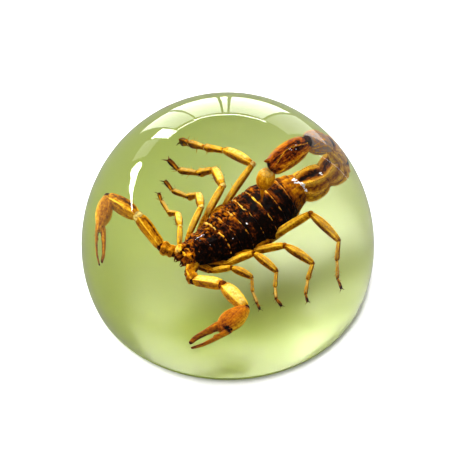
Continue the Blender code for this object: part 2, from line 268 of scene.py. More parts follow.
# The lights' distance from the place that they face, in metres, and the picture's exposure and gamma.
LIGHT_DISTANCE = 1.5
LIGHTS_AIM = (0, 0, 0.03)
EXPOSURE = 0.33
GAMMA = 0.82

# Films of air on the animal, and white beads that are painted glints on its back: the place from
# which each is looked for straight down, how far it spreads along and across, its beads, and their radius.
AIR_FILMS_AND_GLINTS = (
    ((-25.1, -1.1, 17.0), 0.35, 0.5, 12, 0.2),
    ((-25.7, -0.2, 17.0), 0.3, 0.5, 12, 0.2),
    ((-25.9, 0.7, 17.0), 0.2, 0.3, 6, 0.16),
    ((-29.4, -0.7, 16.5), 0.2, 0.3, 5, 0.18),
    ((-4.9, -0.4, 17.5), 1.2, 0.1, 12, 0.11),
    # These three are painted glints on the back plates and the head shield.
    ((-13.35, 2.3, 17.5), 0.12, 0.2, 3, 0.13),
    ((-9.5, 3.3, 17.5), 0.1, 0.1, 1, 0.1),
    ((-5.3, 2.1, 17.5), 0.1, 0.1, 1, 0.1),
    ((-25.4, -0.5, 30.0), 1.5, 0.8, 9, 0.08),
)


def linear(code):
    """A hex colour as Blender's linear red, green, blue and alpha."""
    parts = [int(code[i : i + 2], 16) / 255 for i in (1, 3, 5)]
    turned = [c / 12.92 if c <= 0.04045 else ((c + 0.055) / 1.055) ** 2.4 for c in parts]
    return (*turned, 1.0)


# ---------------------------------------------------------------------------- settings


def size(name, description, default):
    return FloatProperty(name=name, description=description, default=default, unit="LENGTH")


def colour(name, description, default):
    return FloatVectorProperty(
        name=name, description=description, default=linear(default), subtype="COLOR", size=4, min=0, max=1
    )


class DomeSizes(bpy.types.PropertyGroup):
    layer: size("Glow Layer", "Thickness of the green layer", 1.5 * MM)
    around: IntProperty(name="Around", description="Facets round the dome", default=256, min=32)


class ScorpionSizes(bpy.types.PropertyGroup):
    bristle: size("Bristle", "Length of a full bristle", 0.75 * MM)
    bristle_width: size("Bristle Width", "Thickness of a bristle at its root", 0.07 * MM)
    bristles: FloatProperty(name="Bristles", description="Bristles on a square millimetre", default=1.5)
    granule: size("Granule", "Radius of a granule on a keel", 0.11 * MM)
    spacing: size("Granule Spacing", "Distance between granules along a keel", 0.34 * MM)
    comb_teeth: IntProperty(name="Comb Teeth", description="Teeth on each comb", default=19)


class SpecimenColours(bpy.types.PropertyGroup):
    straw: colour("Straw", "Thin clean cuticle on ridges", "#F4CE3C")
    gold: colour("Gold", "Cuticle of the limbs", "#CE9208")
    amber: colour("Amber", "Cuticle over dried flesh", "#965A06")
    umber: colour("Umber", "Seams and hollows", "#421C02")
    pitch: colour("Pitch", "Dried flesh under the back plates", "#0C0300")
    apricot: colour("Apricot", "Ridges of reddish cuticle", "#E4A824")
    tan: colour("Tan", "Reddish cuticle of the palms", "#C27206")
    rust: colour("Rust", "Reddish cuticle of the fingers and tail", "#904204")
    maroon: colour("Maroon", "Hollows in reddish cuticle", "#3A1001")
    # Pale yellow for air behind the cuticle, and for painted highlights on upper faces.
    bleached_and_highlight: colour("Bleached", "Cuticle with air behind it", "#FFE98A")
    # Grey for a film of air, and for a painted reflection of the dome's rim on the tail.
    haze_and_reflection: colour("Haze", "Cuticle clouded by a thin film of air", "#8C7C70")
    # White of the air films, and of the white beads that stand as painted glints.
    film: colour("Film", "Film of trapped air", "#F2F4FA")
    glow: colour("Glow", "Settled glow pigment", "#99A83C")
    glow_pale: colour("Pale Glow", "Thinner glow pigment", "#A1B048")
    floor: colour("Floor", "Plain pale floor", "#FBFBFB")


# ---------------------------------------------------------------------------- finishes


def add_node(tree, kind, links=None, **settings):
    """A node of a kind with its settings; links maps an input to a value or to a node's output."""
    node = tree.nodes.new(kind)
    for name, value in settings.items():
        setattr(node, name, value)
    for name, value in (links or {}).items():
        socket = node.inputs[name]
        if isinstance(value, bpy.types.NodeSocket):
            tree.links.new(value, socket)
        else:
            socket.default_value = value
    return node


def new_material(name):
    """A material with only a Principled shader and its output: (material, tree, shader)."""
    made = bpy.data.materials.new(name)
    made.use_nodes = True
    return made, made.node_tree, made.node_tree.nodes["Principled BSDF"]


def polished_clear_resin():
    """Cast polyester resin, polished: water-clear and glassy, with a refractive index of 1.54."""
    made, tree, shader = new_material("polished_clear_resin")
    shader.inputs["Base Color"].default_value = (1, 1, 1, 1)
    shader.inputs["Roughness"].default_value = 0.0
    shader.inputs["IOR"].default_value = 1.54
    shader.inputs["Transmission Weight"].default_value = 1.0
    return made


def glow_pigment_resin(colours):
    """Resin filled with glow pigment: opaque, pale green and satin, in faint clouds where it settled."""
    made, tree, shader = new_material("glow_pigment_resin")
    where = add_node(tree, "ShaderNodeTexCoord")
    cloud = add_node(
        tree,
        "ShaderNodeTexNoise",
        {"Vector": where.outputs["Object"], "Scale": 1 / (14 * MM), "Detail": 3.0},
    )
    tint = add_node(
        tree,
        "ShaderNodeMix",
        {"Factor": cloud.outputs["Fac"], 6: tuple(colours.glow), 7: tuple(colours.glow_pale)},
        data_type="RGBA",
    )
    tree.links.new(tint.outputs[2], shader.inputs["Base Color"])
    shader.inputs["Roughness"].default_value = 0.4
    shader.inputs["Specular IOR Level"].default_value = 1.0
    return made


def golden_cuticle(colours):
    """Dried cuticle wetted by resin: straw on its ridges, amber and umber where flesh dried behind it.

    Resin has nearly the cuticle's refractive index, so hardly any gloss is left.
    """
    made, tree, shader = new_material("golden_cuticle")
    mark = {}
    for name in MARKS:
        mark[name] = add_node(tree, "ShaderNodeAttribute", attribute_name=name).outputs["Fac"]
    grain = add_node(tree, "ShaderNodeAttribute", attribute_name="grain").outputs["Vector"]
    adding = {"kind": "ShaderNodeMath", "operation": "MULTIPLY_ADD"}
    stretched = add_node(tree, "ShaderNodeMapping", {"Vector": grain, "Scale": (0.16, 1.0, 1.0)}).outputs[0]
    fine = {"Vector": stretched, "Scale": 1 / (0.4 * MM), "Detail": 4.0, "Roughness": 0.65}
    streaks = add_node(tree, "ShaderNodeTexNoise", fine).outputs["Fac"]
    coarse = {"Vector": grain, "Scale": 1 / (0.6 * MM), "Detail": 6.0, "Roughness": 0.68}
    mottle = add_node(tree, "ShaderNodeTexNoise", coarse).outputs["Fac"]
    pitted = {"Vector": grain, "Scale": 1 / (0.42 * MM), "Randomness": 1.0}
    pits = add_node(tree, "ShaderNodeTexVoronoi", pitted).outputs["Distance"]
    dots = add_node(
        tree,
        "ShaderNodeMapRange",
        {"Value": pits, "From Min": 0.14, "From Max": 0.26, "To Min": 0.3, "To Max": 0.0},
    ).outputs[0]
    streaked = add_node(tree, links={0: streaks, 1: 0.75, 2: -0.8}, **adding).outputs[0]
    uneven = add_node(tree, links={0: mottle, 1: 0.85, 2: streaked}, **adding).outputs[0]
    strength = add_node(tree, links={0: mark["crumbly"], 1: 2.6, 2: 1.0}, **adding).outputs[0]
    dotted = add_node(tree, links={0: dots, 1: mark["dotted"], 2: mark["brown"]}, **adding).outputs[0]
    brown = add_node(tree, links={0: uneven, 1: strength, 2: dotted}, **adding).outputs[0]
    ramps = []
    for shades in (
        (colours.straw, colours.gold, colours.amber, colours.umber, colours.pitch),
        (colours.apricot, colours.tan, colours.rust, colours.maroon, colours.pitch),
    ):
        ramp = add_node(tree, "ShaderNodeValToRGB", {"Fac": brown})
        band = ramp.color_ramp
        while len(band.elements) < len(shades):
            band.elements.new(0.5)
        for element, place, shade in zip(band.elements, (0.0, 0.26, 0.52, 0.74, 0.9), shades):
            element.position = place
            element.color = shade
        ramps.append(ramp.outputs["Color"])
    reddened = add_node(
        tree, "ShaderNodeMix", {"Factor": mark["rust"], 6: ramps[0], 7: ramps[1]}, data_type="RGBA"
    ).outputs[2]
    tint = reddened
    # The first mix is partly air behind the cuticle and partly a painted highlight; the second is partly a film of
    # air and partly a painted reflection.
    for name, shade, evenness in (("bleach", colours.bleached_and_highlight, -1.35), ("hazy", colours.haze_and_reflection, -1.25)):
        patchy = add_node(tree, links={0: mottle, 1: 4.0, 2: evenness}, use_clamp=True, **adding).outputs[0]
        share = add_node(tree, "ShaderNodeMath", {0: mark[name], 1: patchy}, operation="MULTIPLY").outputs[0]
        mixed = {"Factor": share, 6: tint, 7: tuple(shade)}
        tint = add_node(tree, "ShaderNodeMix", mixed, data_type="RGBA").outputs[2]
    tree.links.new(tint, shader.inputs["Base Color"])
    roughness = add_node(tree, links={0: mottle, 1: 0.6, 2: 0.0}, **adding).outputs[0]
    tree.links.new(roughness, shader.inputs["Roughness"])
    relief = add_node(tree, "ShaderNodeBump", {"Height": uneven, "Strength": 0.5, "Distance": 0.15 * MM})
    tree.links.new(relief.outputs[0], shader.inputs["Normal"])
    shader.inputs["Specular IOR Level"].default_value = 0.02
    return made


def air_film_and_glint_finish(colours):
    """A film of air between cuticle and resin: it turns light back like silver paper. The same white finish also
    makes painted glints on the back.
    """
    made, tree, shader = new_material("trapped_air_film")
    where = add_node(tree, "ShaderNodeTexCoord")
    crinkle = add_node(
        tree,
        "ShaderNodeTexNoise",
        {"Vector": where.outputs["Object"], "Scale": 1 / (0.3 * MM), "Detail": 2.0},
    )
    shader.inputs["Base Color"].default_value = colours.film
    shader.inputs["Roughness"].default_value = 0.2
    crinkled = {"Height": crinkle.outputs["Fac"], "Distance": 0.1 * MM, "Strength": 0.5}
    relief = add_node(tree, "ShaderNodeBump", crinkled)
    tree.links.new(relief.outputs[0], shader.inputs["Normal"])
    return made


def eye_lens():
    """A scorpion's eye: a smooth black lens."""
    made, tree, shader = new_material("black_eye_lens")
    shader.inputs["Base Color"].default_value = linear("#080402")
    shader.inputs["Roughness"].default_value = 0.08
    return made


def pale_floor(colours):
    """Painted board, matt."""
    made, tree, shader = new_material("matt_pale_floor")
    shader.inputs["Base Color"].default_value = colours.floor
    shader.inputs["Roughness"].default_value = 0.9
    return made


# ---------------------------------------------------------------------------- shapes


def smooth(table, places):
    """Values read along one smooth curve through a table's rows of (place, value, ...)."""
    table = np.asarray(table, float)
    knots, values = table[:, 0], table[:, 1:]
    slopes = np.gradient(values, knots, axis=0)
    places = np.asarray(places, float)
    low = np.clip(np.searchsorted(knots, places) - 1, 0, len(knots) - 2)
    span = (knots[low + 1] - knots[low])[..., None]
    t = np.clip((places - knots[low])[..., None] / span, 0, 1)
    rest = 1 - t
    level = values[low] * (1 + 2 * t) * rest**2 + values[low + 1] * t**2 * (3 - 2 * t)
    return level + span * (slopes[low] * t * rest**2 - slopes[low + 1] * t**2 * rest)


def step(low, high, value):
    """0 at low and beyond, 1 at high and beyond, smooth between; low may be the larger."""
    t = np.clip((value - low) / (high - low), 0, 1)
    return t * t * (3 - 2 * t)


def bell(value, centre, width):
    return np.exp(-(((value - centre) / width) ** 2))


def off(turn, centre):
    """How far a turn in radians lies from a direction in degrees, in degrees, either way."""
    return np.abs((np.degrees(turn) - centre + 180) % 360 - 180)


def clouds(points, size, shift=0.0):
    """Smooth noise, about -1 to 1, with lumps of a size in millimetres."""
    flat = points.reshape(-1, 3) / size + shift
    return np.array([noise.noise(Vector(p)) for p in flat]).reshape(points.shape[:-1]) * 1.6


def crumbs(points, size, shift=0.0):
    """0 in the cracks between crumbs of a size in millimetres and 1 on top of them."""
    flat = points.reshape(-1, 3) / size + shift
    near = np.array([noise.voronoi(Vector(p))[0][:2] for p in flat])
    return step(0.0, 0.45, near[:, 1] - near[:, 0]).reshape(points.shape[:-1])


def direction(heading, rise):
    heading, rise = math.radians(heading), math.radians(rise)
    level = math.cos(rise)
    return Vector((level * math.cos(heading), level * math.sin(heading), math.sin(rise)))


def chain(start, lengths, headings, rises):
    """The joints' places along a limb, from its root to its tip."""
    places = [Vector(start)]
    for length, heading, rise in zip(lengths, headings, rises):
        places.append(places[-1] + length * direction(heading, rise))
    return places


def in_place(points):
    """From the scorpion's own frame, in millimetres, to the part's frame, in metres."""
    turn = math.radians(HEADING)
    x, y, z = np.asarray(points).T
    return MM * np.stack(
        [
            HEAD_PLACE[0] + math.cos(turn) * x - math.sin(turn) * y,
            HEAD_PLACE[1] + math.sin(turn) * x + math.cos(turn) * y,
            z,
        ],
        axis=1,
    )


def give(mesh, name, values):
    """Give a mesh's points one number or one vector each, under a name."""
    kind, key = ("FLOAT", "value") if values.ndim == 1 else ("FLOAT_VECTOR", "vector")
    layer = mesh.attributes.new(name, kind, "POINT")
    layer.data.foreach_set(key, values.ravel().astype(np.float32))


class Skin:
    """Closed skins in the scorpion's frame, in millimetres, gathered for one piece."""

    def __init__(self):
        self.points, self.faces, self.grain, self.lie = [], [], [], []
        self.marks = {name: [] for name in MARKS}
        self.count = 0

    def add(self, points, faces, grain, lie, marks):
        """Take one closed skin, its faces turned outwards, with its marks as arrays or numbers."""
        corners = []
        for face in faces:
            corners += [(face[0], face[i], face[i + 1]) for i in range(1, len(face) - 1)]
        a, b, c = (points[np.array(corners)[:, i]] for i in range(3))
        if np.einsum("ij,ij->i", a, np.cross(b, c)).sum() < 0:
            faces = [face[::-1] for face in faces]
        self.faces += [tuple(corner + self.count for corner in face) for face in faces]
        self.points.append(points)
        self.grain.append(grain + 5.0 * len(self.points))
        self.lie.append(np.broadcast_to(lie, points.shape))
        for name in MARKS:
            self.marks[name].append(np.broadcast_to(marks.get(name, 0.0), len(points)))
        self.count += len(points)

    def piece(self, name, finish):
        """One object at the origin, with the marks, grain and lie as attributes."""
        mesh = bpy.data.meshes.new(name)
        mesh.from_pydata(in_place(np.concatenate(self.points)).tolist(), [], self.faces)
        for mark, values in self.marks.items():
            give(mesh, mark, np.clip(np.concatenate(values), 0, 1))
        give(mesh, "grain", np.concatenate(self.grain) * MM)
        give(mesh, "lie", np.concatenate(self.lie) @ HEAD_TURN.T)
        mesh.materials.append(finish)
        mesh.shade_smooth()
        mesh.set_sharp_from_angle(angle=math.radians(55))
        made = bpy.data.objects.new(name, mesh)
        bpy.context.scene.collection.objects.link(made)
        return made


def tube(skin, middle, across, upward, wide, deep, sides=24, square=2.2, relief=None, paint=None):
    """A closed skin round a middle line, whose first and last places are its poles.

    wide and deep are half sizes at each place. relief gives how far the skin stands out, and paint
    its marks, from the share along and the turn round.
    """
    middle = np.asarray(middle, float)
    rings = len(middle)
    across = np.broadcast_to(np.asarray(across, float), (rings, 3))[:, None, :]
    upward = np.broadcast_to(np.asarray(upward, float), (rings, 3))[:, None, :]
    run = np.concatenate([[0], np.cumsum(np.linalg.norm(np.diff(middle, axis=0), axis=1))])
    share = np.repeat((run / run[-1])[:, None], sides, axis=1)
    turn = np.repeat(np.linspace(0, 2 * math.pi, sides, endpoint=False)[None, :], rings, axis=0)
    flat, high = np.cos(turn), np.sin(turn)
    out = relief(share, turn) if relief else 0.0
    side = wide[:, None] * np.sign(flat) * np.abs(flat) ** (2 / square) + out * flat
    rise = deep[:, None] * np.sign(high) * np.abs(high) ** (2 / square) + out * high
    round_points = middle[:, None, :] + side[..., None] * across + rise[..., None] * upward
    marks = paint(share, turn) if paint else {}
    grain = np.stack([run[:, None] + 0 * side, side, rise], axis=-1)
    lie = np.gradient(middle, axis=0)
    lie /= np.linalg.norm(lie, axis=1)[:, None]
    lie = np.repeat(lie[:, None, :], sides, axis=1)

    def flatten(grid):
        inner = grid[1:-1].reshape(-1, *grid.shape[2:])
        return np.concatenate([grid[1, :1], inner, grid[-2, :1]])

    points = flatten(round_points)
    points[0], points[-1] = middle[0], middle[-1]
    inner = rings - 2
    faces = []
    for j in range(sides):
        k = (j + 1) % sides
        faces.append((0, 1 + k, 1 + j))
        faces.append((1 + (inner - 1) * sides + j, 1 + (inner - 1) * sides + k, 1 + inner * sides))
        for i in range(inner - 1):
            low, high = 1 + i * sides, 1 + (i + 1) * sides
            faces.append((low + j, low + k, high + k, high + j))
    marks = {name: flatten(np.broadcast_to(value, share.shape)) for name, value in marks.items()}
    skin.add(points, faces, flatten(grain), flatten(lie), marks)
    return round_points


def axes_of(along):
    """The width's and the depth's directions of a limb that runs along a vector."""
    upright = Vector((0, 0, 1)) if abs(along.z) < 0.999 else Vector((1, 0, 0))
    across = along.cross(upright).normalized()
    return across, across.cross(along).normalized()


def blunt(share, root=0.07, tip=0.07):
    """How much of its girth a joint has close to its rounded root and tip."""
    near = 1 - np.clip(share / root, 0, 1)
    far = 1 - np.clip((1 - share) / tip, 0, 1)
    return np.sqrt(1 - near**2) * np.sqrt(1 - far**2)


def limb(skin, start, end, width, depth, form, bow=0.0, axes=None, rings=22, overrun=0.12, **more):
    """One hardened joint between two places; its outline comes from a form, and bow lifts its middle."""
    start, end = Vector(start), Vector(end)
    along = (end - start).normalized()
    across, upward = axes or axes_of(along)
    start, end = start - along * overrun * depth, end + along * overrun * depth
    even = np.linspace(0, 1, rings)
    share = 0.45 * even + 0.55 * (0.5 - 0.5 * np.cos(math.pi * even))
    middle = np.outer(1 - share, start) + np.outer(share, end)
    middle = middle + np.outer(bow * (end - start).length * np.sin(math.pi * share), upward)
    girth = smooth(form, share)[:, 0] * blunt(share)
    return tube(skin, middle, across, upward, girth * width / 2, girth * depth / 2, **more)


def horn(skin, root, along, towards, length, thickness, curl=0.25, rings=14, sides=12, tip=0.12, **more):
    """A tapering spine that curls towards a side: a claw, a tooth or a sting."""
    root, along, towards = Vector(root), Vector(along).normalized(), Vector(towards).normalized()
    across = along.cross(towards).normalized()
    towards = across.cross(along).normalized()
    share = np.linspace(0, 1, rings) ** 0.9
    middle = np.outer(share * length, along) + np.outer(curl * length * share**2, towards) + np.array(root)
    taper = (1 - (1 - tip) * share**1.2) * blunt(share, 0.1, 0.06) * thickness / 2
    return tube(skin, middle, across, towards, taper, taper, sides=sides, square=2.0, **more)


def ball(skin, place, radius, marks, stretch=(1.0, 1.0, 1.0)):
    """A small rounded knuckle or bead."""
    turns = np.linspace(0, math.pi, 10)
    middle = np.array(place) - np.outer(np.cos(turns) * radius * stretch[0], (1, 0, 0))
    girth = np.sin(turns) * radius
    wide, deep = girth * stretch[1], girth * stretch[2]
    round_about = {"sides": 14, "square": 2.0, "paint": lambda share, turn: marks}
    tube(skin, middle, (0, 1, 0), (0, 0, 1), wide, deep, **round_about)


def limb_marks(
    tone,
    hollow=0.36,
    ridge=0.3,
    seam=0.4,
    bleach=0.0,
    bristly=0.0,
    rust=0.0,
    far_end=0.0,
    dotted=0.3,
    lens_at=(2, 178),
):
    """Marks of a limb joint: pale ridges between its faces, a brown lens on each flank, dark seams.

    bleach whitens its upper face as a painted highlight, and lens_at gives the middles of its brown lenses.
    """

    def paint(share, turn):
        ridges = sum(bell(off(turn, side), 0, 9) for side in (52, 128))
        lower = sum(bell(off(turn, side), 0, 14) for side in (-62, 242))
        swell = np.clip(np.sin(math.pi * share), 0, 1) ** 0.7
        lens = sum(step(0.35, 0.6, swell * bell(off(turn, side), 0, 28)) for side in lens_at)
        seams = bell(share, 0.02, 0.04) + bell(share, 0.98, 0.035)
        middle = step(0.1, 0.2, share) * (1 - step(0.78, 0.92, share))
        brown = tone + hollow * lens - ridge * (ridges + 0.5 * lower) + seam * seams
        return {
            "brown": brown + far_end * step(0.4, 1.0, share),
            "rust": rust + 0 * share,
            # Painted highlight: the upper face is whitened.
            "bleach": bleach * middle * bell(off(turn, 86), 0, 40),
            "dotted": dotted + 0 * share,
            "crumbly": 0.15 + 0 * share,
            "bristly": bristly * step(0.1, 0.3, share),
        }

    return paint


def keeled(keels, width=9.0, fade=0.12, hollows=(), bowed=0.0):
    """Relief of keels that run along a joint and lens-shaped hollows between them.

    Keels and hollows are (degrees, height or depth) each. They draw together towards the back at both
    ends, by the share that bowed gives.
    """

    def relief(share, turn):
        inset = step(0.0, fade, share) * (1 - step(1 - fade, 1.0, share))
        swell = np.clip(np.sin(math.pi * share), 0, 1)
        spread = 1 - bowed * (1 - swell)

        def band(centre, reach):
            return bell(off(turn, 90 + (centre - 90) * spread), 0, reach)

        rise = sum(height * band(centre, width) for centre, height in keels)
        sunk = sum(depth * swell**0.6 * band(centre, 1.5 * width) for centre, depth in hollows)
        return inset * (rise - sunk)

    return relief


# ---------------------------------------------------------------------------- trunk


def trunk_points(back, turn, lift=0.0):
    """Points round the trunk: back is (n, 1), turn (1, k) from its left side over the back."""
    middle, half, top, low = np.moveaxis(smooth(TRUNK, back[:, 0]), 1, 0)[:, :, None]
    centre = low + WIDEST_SHARE * (top - low)
    flat, high = np.cos(turn), np.sin(turn)
    tall = np.where(high > 0, top - centre, centre - low)
    square = np.where(high > 0, 2.5, 3.0)
    side = half * np.sign(flat) * np.abs(flat) ** (2 / square) + lift * flat
    rise = tall * np.sign(high) * np.abs(high) ** (2 / square) + lift * high
    return np.stack([-back + 0 * side, middle + side, centre + rise], axis=-1)


def sheet(skin, outer, inner, marks):
    """A closed plate between an outer and an inner grid of points."""
    rows, columns = outer.shape[:2]
    a = np.arange(rows * columns).reshape(rows, columns)
    b = a + rows * columns
    faces = []
    for i in range(rows - 1):
        for j in range(columns - 1):
            faces.append((a[i, j], a[i + 1, j], a[i + 1, j + 1], a[i, j + 1]))
            faces.append((b[i, j], b[i, j + 1], b[i + 1, j + 1], b[i + 1, j]))
        faces.append((a[i + 1, 0], a[i, 0], b[i, 0], b[i + 1, 0]))
        faces.append((a[i, -1], a[i + 1, -1], b[i + 1, -1], b[i, -1]))
    for j in range(columns - 1):
        faces.append((a[-1, j + 1], a[-1, j], b[-1, j], b[-1, j + 1]))
        faces.append((a[0, j], a[0, j + 1], b[0, j + 1], b[0, j]))
    points = np.concatenate([outer.reshape(-1, 3), inner.reshape(-1, 3)])
    marks = {name: np.tile(np.broadcast_to(value, (rows, columns)).ravel(), 2) for name, value in marks.items()}
    faces = [tuple(int(i) for i in face) for face in faces]
    skin.add(points, faces, points[:, (1, 0, 2)], (-1.0, 0.0, 0.0), marks)


def across_share(back, points):
    """How far across the trunk points lie, from -1 on its right to 1 on its left."""
    middle, half = np.moveaxis(smooth(TRUNK, back[:, 0]), 1, 0)[:2, :, None]
    return (points[..., 1] - middle) / half


def back_marks(back, points, rough, edge):
    """Marks of the back: near-black over dried flesh, orange-gold crumbs, and broken straw rear edges."""
    share = across_share(back, points)
    border = smooth(BLACK_EDGE, back[:, 0])[:, :1]
    wander = 0.34 * clouds(points, 1.6, 3.0) + 0.14 * clouds(points, 0.6, 5.0)
    black = step(-0.5, 0.34, share - border + wander)
    broken = clouds(points * (0.5, 1.0, 1.0), 1.0, 9.0) + 0.5 * clouds(points, 0.4, 13.0)
    broken = broken + 0.5 - 0.7 * share + 0.4 * bell(share, -0.3, 0.2)
    straw = np.clip(edge, 0, 1) * step(0.0, 0.4, broken)
    warm = step(-0.1, 0.8, clouds(points * (1.0, 0.6, 1.0), 1.4, 15.0)) * (0.4 + 0.6 * step(0.6, 0.0, share))
    told = (1 - black) * (0.82 - 0.4 * rough) + black * (0.98 - 0.32 * warm - 0.08 * rough)
    return {
        "brown": told - (0.72 + 0.1 * black) * straw,
        "rust": np.clip(0.5 - 0.4 * straw, 0, 1),
        # Painted highlight: some rear edges are whitened, most on the far side.
        "bleach": 0.6 * straw * step(0.5, 0.9, broken),
        "crumbly": np.clip(0.08 + 0.26 * (1 - black) + 0.2 * straw, 0, 1),
    }


def build_carapace(skin):
    """The head's shield: sloping flanks, a furrow, two keels, an eye mound and swollen front corners."""
    rows, columns = 64, 96
    back = np.linspace(0.3, CARAPACE_BACK, rows)[:, None]
    turn = np.radians(np.linspace(-22, 202, columns))[None, :]
    base = trunk_points(back, turn)
    share = across_share(back, base)
    middle, half = np.moveaxis(smooth(TRUNK, back[:, 0]), 1, 0)[:2, :, None]
    out = share * half
    keel_line = 0.9 + 0.16 * (back - 3.0)
    lift = -0.32 * bell(out, 0, 0.4) * step(1.0, 2.4, back)
    lift += 0.62 * np.exp(-(((back - 4.3) / 0.95) ** 2) - (out / 0.8) ** 2)
    lift += 0.24 * bell(np.abs(out), keel_line, 0.24) * step(2.4, 4.0, back)
    lift -= 0.28 * bell(back, 7.3, 0.3) * (1 - step(0.75, 0.95, np.abs(share)))
    lift -= 0.5 * np.exp(-(((back - 2.9) / 0.75) ** 2) - ((np.abs(share) - 0.55) / 0.22) ** 2)
    lift -= 0.3 * np.exp(-(((back - 5.6) / 0.8) ** 2) - ((np.abs(share) - 0.72) / 0.16) ** 2)
    lift += 0.42 * np.exp(-(((back - 1.1) / 0.7) ** 2) - ((np.abs(share) - 0.72) / 0.3) ** 2)
    lift += 0.16 * bell(back, 0.55, 0.2) + 0.14 * step(CARAPACE_BACK - 0.5, CARAPACE_BACK, back)
    rough = crumbs(base, 1.1, 2.0)
    far = step(0.3, -0.5, share) * step(2.0, 4.0, back)
    lift += (rough - 0.6) * (0.06 + 0.26 * far) + 0.07 * clouds(base, 0.5)
    lift -= 0.35 * step(0.85, 1.0, np.abs(np.degrees(turn) - 90) / 112)
    edge = step(CARAPACE_BACK - 0.4, CARAPACE_BACK - 0.1, back) + bell(back, 0.5, 0.3)
    marks = back_marks(back, base, rough, np.clip(edge, 0, 1))
    corner = np.exp(-(((back - 1.0) / 0.9) ** 2) - ((np.abs(share) - 0.7) / 0.45) ** 2)
    rim = bell(np.abs(np.degrees(turn) - 90), 106, 7) * step(1.0, 3.0, back)
    keel = bell(np.abs(out), keel_line, 0.16) * step(2.4, 4.0, back) * step(0.1, -0.3, share)
    pitted = step(0.1, 0.5, clouds(base, 0.7, 21.0)) * step(4.0, 1.5, back)
    marks["brown"] = marks["brown"] - 0.5 * corner - 0.45 * rim - 0.3 * keel + 0.4 * pitted
    lift = lift - 0.22 * pitted
    outer = trunk_points(back, turn, lift)
    sheet(skin, outer, trunk_points(back, turn, lift - 0.35), marks)


def build_back_plates(skin):
    """Seven plates that overlap backwards, each with a raised rear lip; the last one has five keels."""
    front = CARAPACE_BACK
    columns = 110
    for number, end in enumerate(BACK_PLATE_ENDS, 1):
        last = number == len(BACK_PLATE_ENDS)
        start = front - 0.8
        rows = int(9 * (end - start))
        back = np.linspace(start, end, rows)[:, None]
        turn = np.radians(np.linspace(-12, 192, columns))[None, :]
        base = trunk_points(back, turn)
        share = across_share(back, base)
        along = (back - start) / (end - start)
        rough = crumbs(base * (1.3, 1.0, 1.0), 1.15, 4.0 + number)
        far = step(0.45, -0.6, share) * (1 - step(14, 19, back))
        lift = -0.42 * (1 - step(0.0, 0.3, along)) + 0.14 * step(0.55, 1.0, along) - 0.12 * step(0.965, 1.0, along)
        lift = lift + (rough - 0.6) * (0.07 + 0.3 * far) + 0.05 * clouds(base, 0.6, number)
        keels = (0.0,) if not last else (0.0, -0.42, 0.42, -0.78, 0.78)
        for keel in keels:
            lift = lift + 0.15 * bell(share, keel, 0.06) * step(0.35, 0.6, along)
        lift = lift - 0.2 * step(0.9, 1.0, np.abs(np.degrees(turn) - 90) / 102)
        lift = lift + 0.3 * bell(along, 0.55, 0.3) * step(-0.5, -0.9, share)
        thin = 0.965 - 0.07 * bell(share, -0.3, 0.22) - 0.05 * bell(share, 0.58, 0.06)
        edge = EDGE_STRENGTH[number - 1] * step(thin - 0.03, thin, along)
        marks = back_marks(back, base, rough, edge)
        side = step(92, 98, np.abs(np.degrees(turn) - 90))
        marks["brown"] = marks["brown"] - 0.35 * side
        if last:
            amber = step(0.15, 0.5, along)
            streaks = 0.5 + 0.5 * clouds(base * (0.35, 1.6, 1.6), 1.0, 7.0)
            ridge = sum(bell(share, keel, 0.07) for keel in keels)
            told = 0.6 - 0.26 * streaks - 0.14 * ridge + 0.12 * step(0.5, 1.0, share)
            marks["brown"] = marks["brown"] * (1 - amber) + amber * told
            marks["rust"] = marks["rust"] * (1 - amber) + 0.15 * amber
            marks["crumbly"] = marks["crumbly"] * (1 - amber)
        sheet(skin, trunk_points(back, turn, lift), trunk_points(back, turn, lift - 0.3), marks)
        front = end


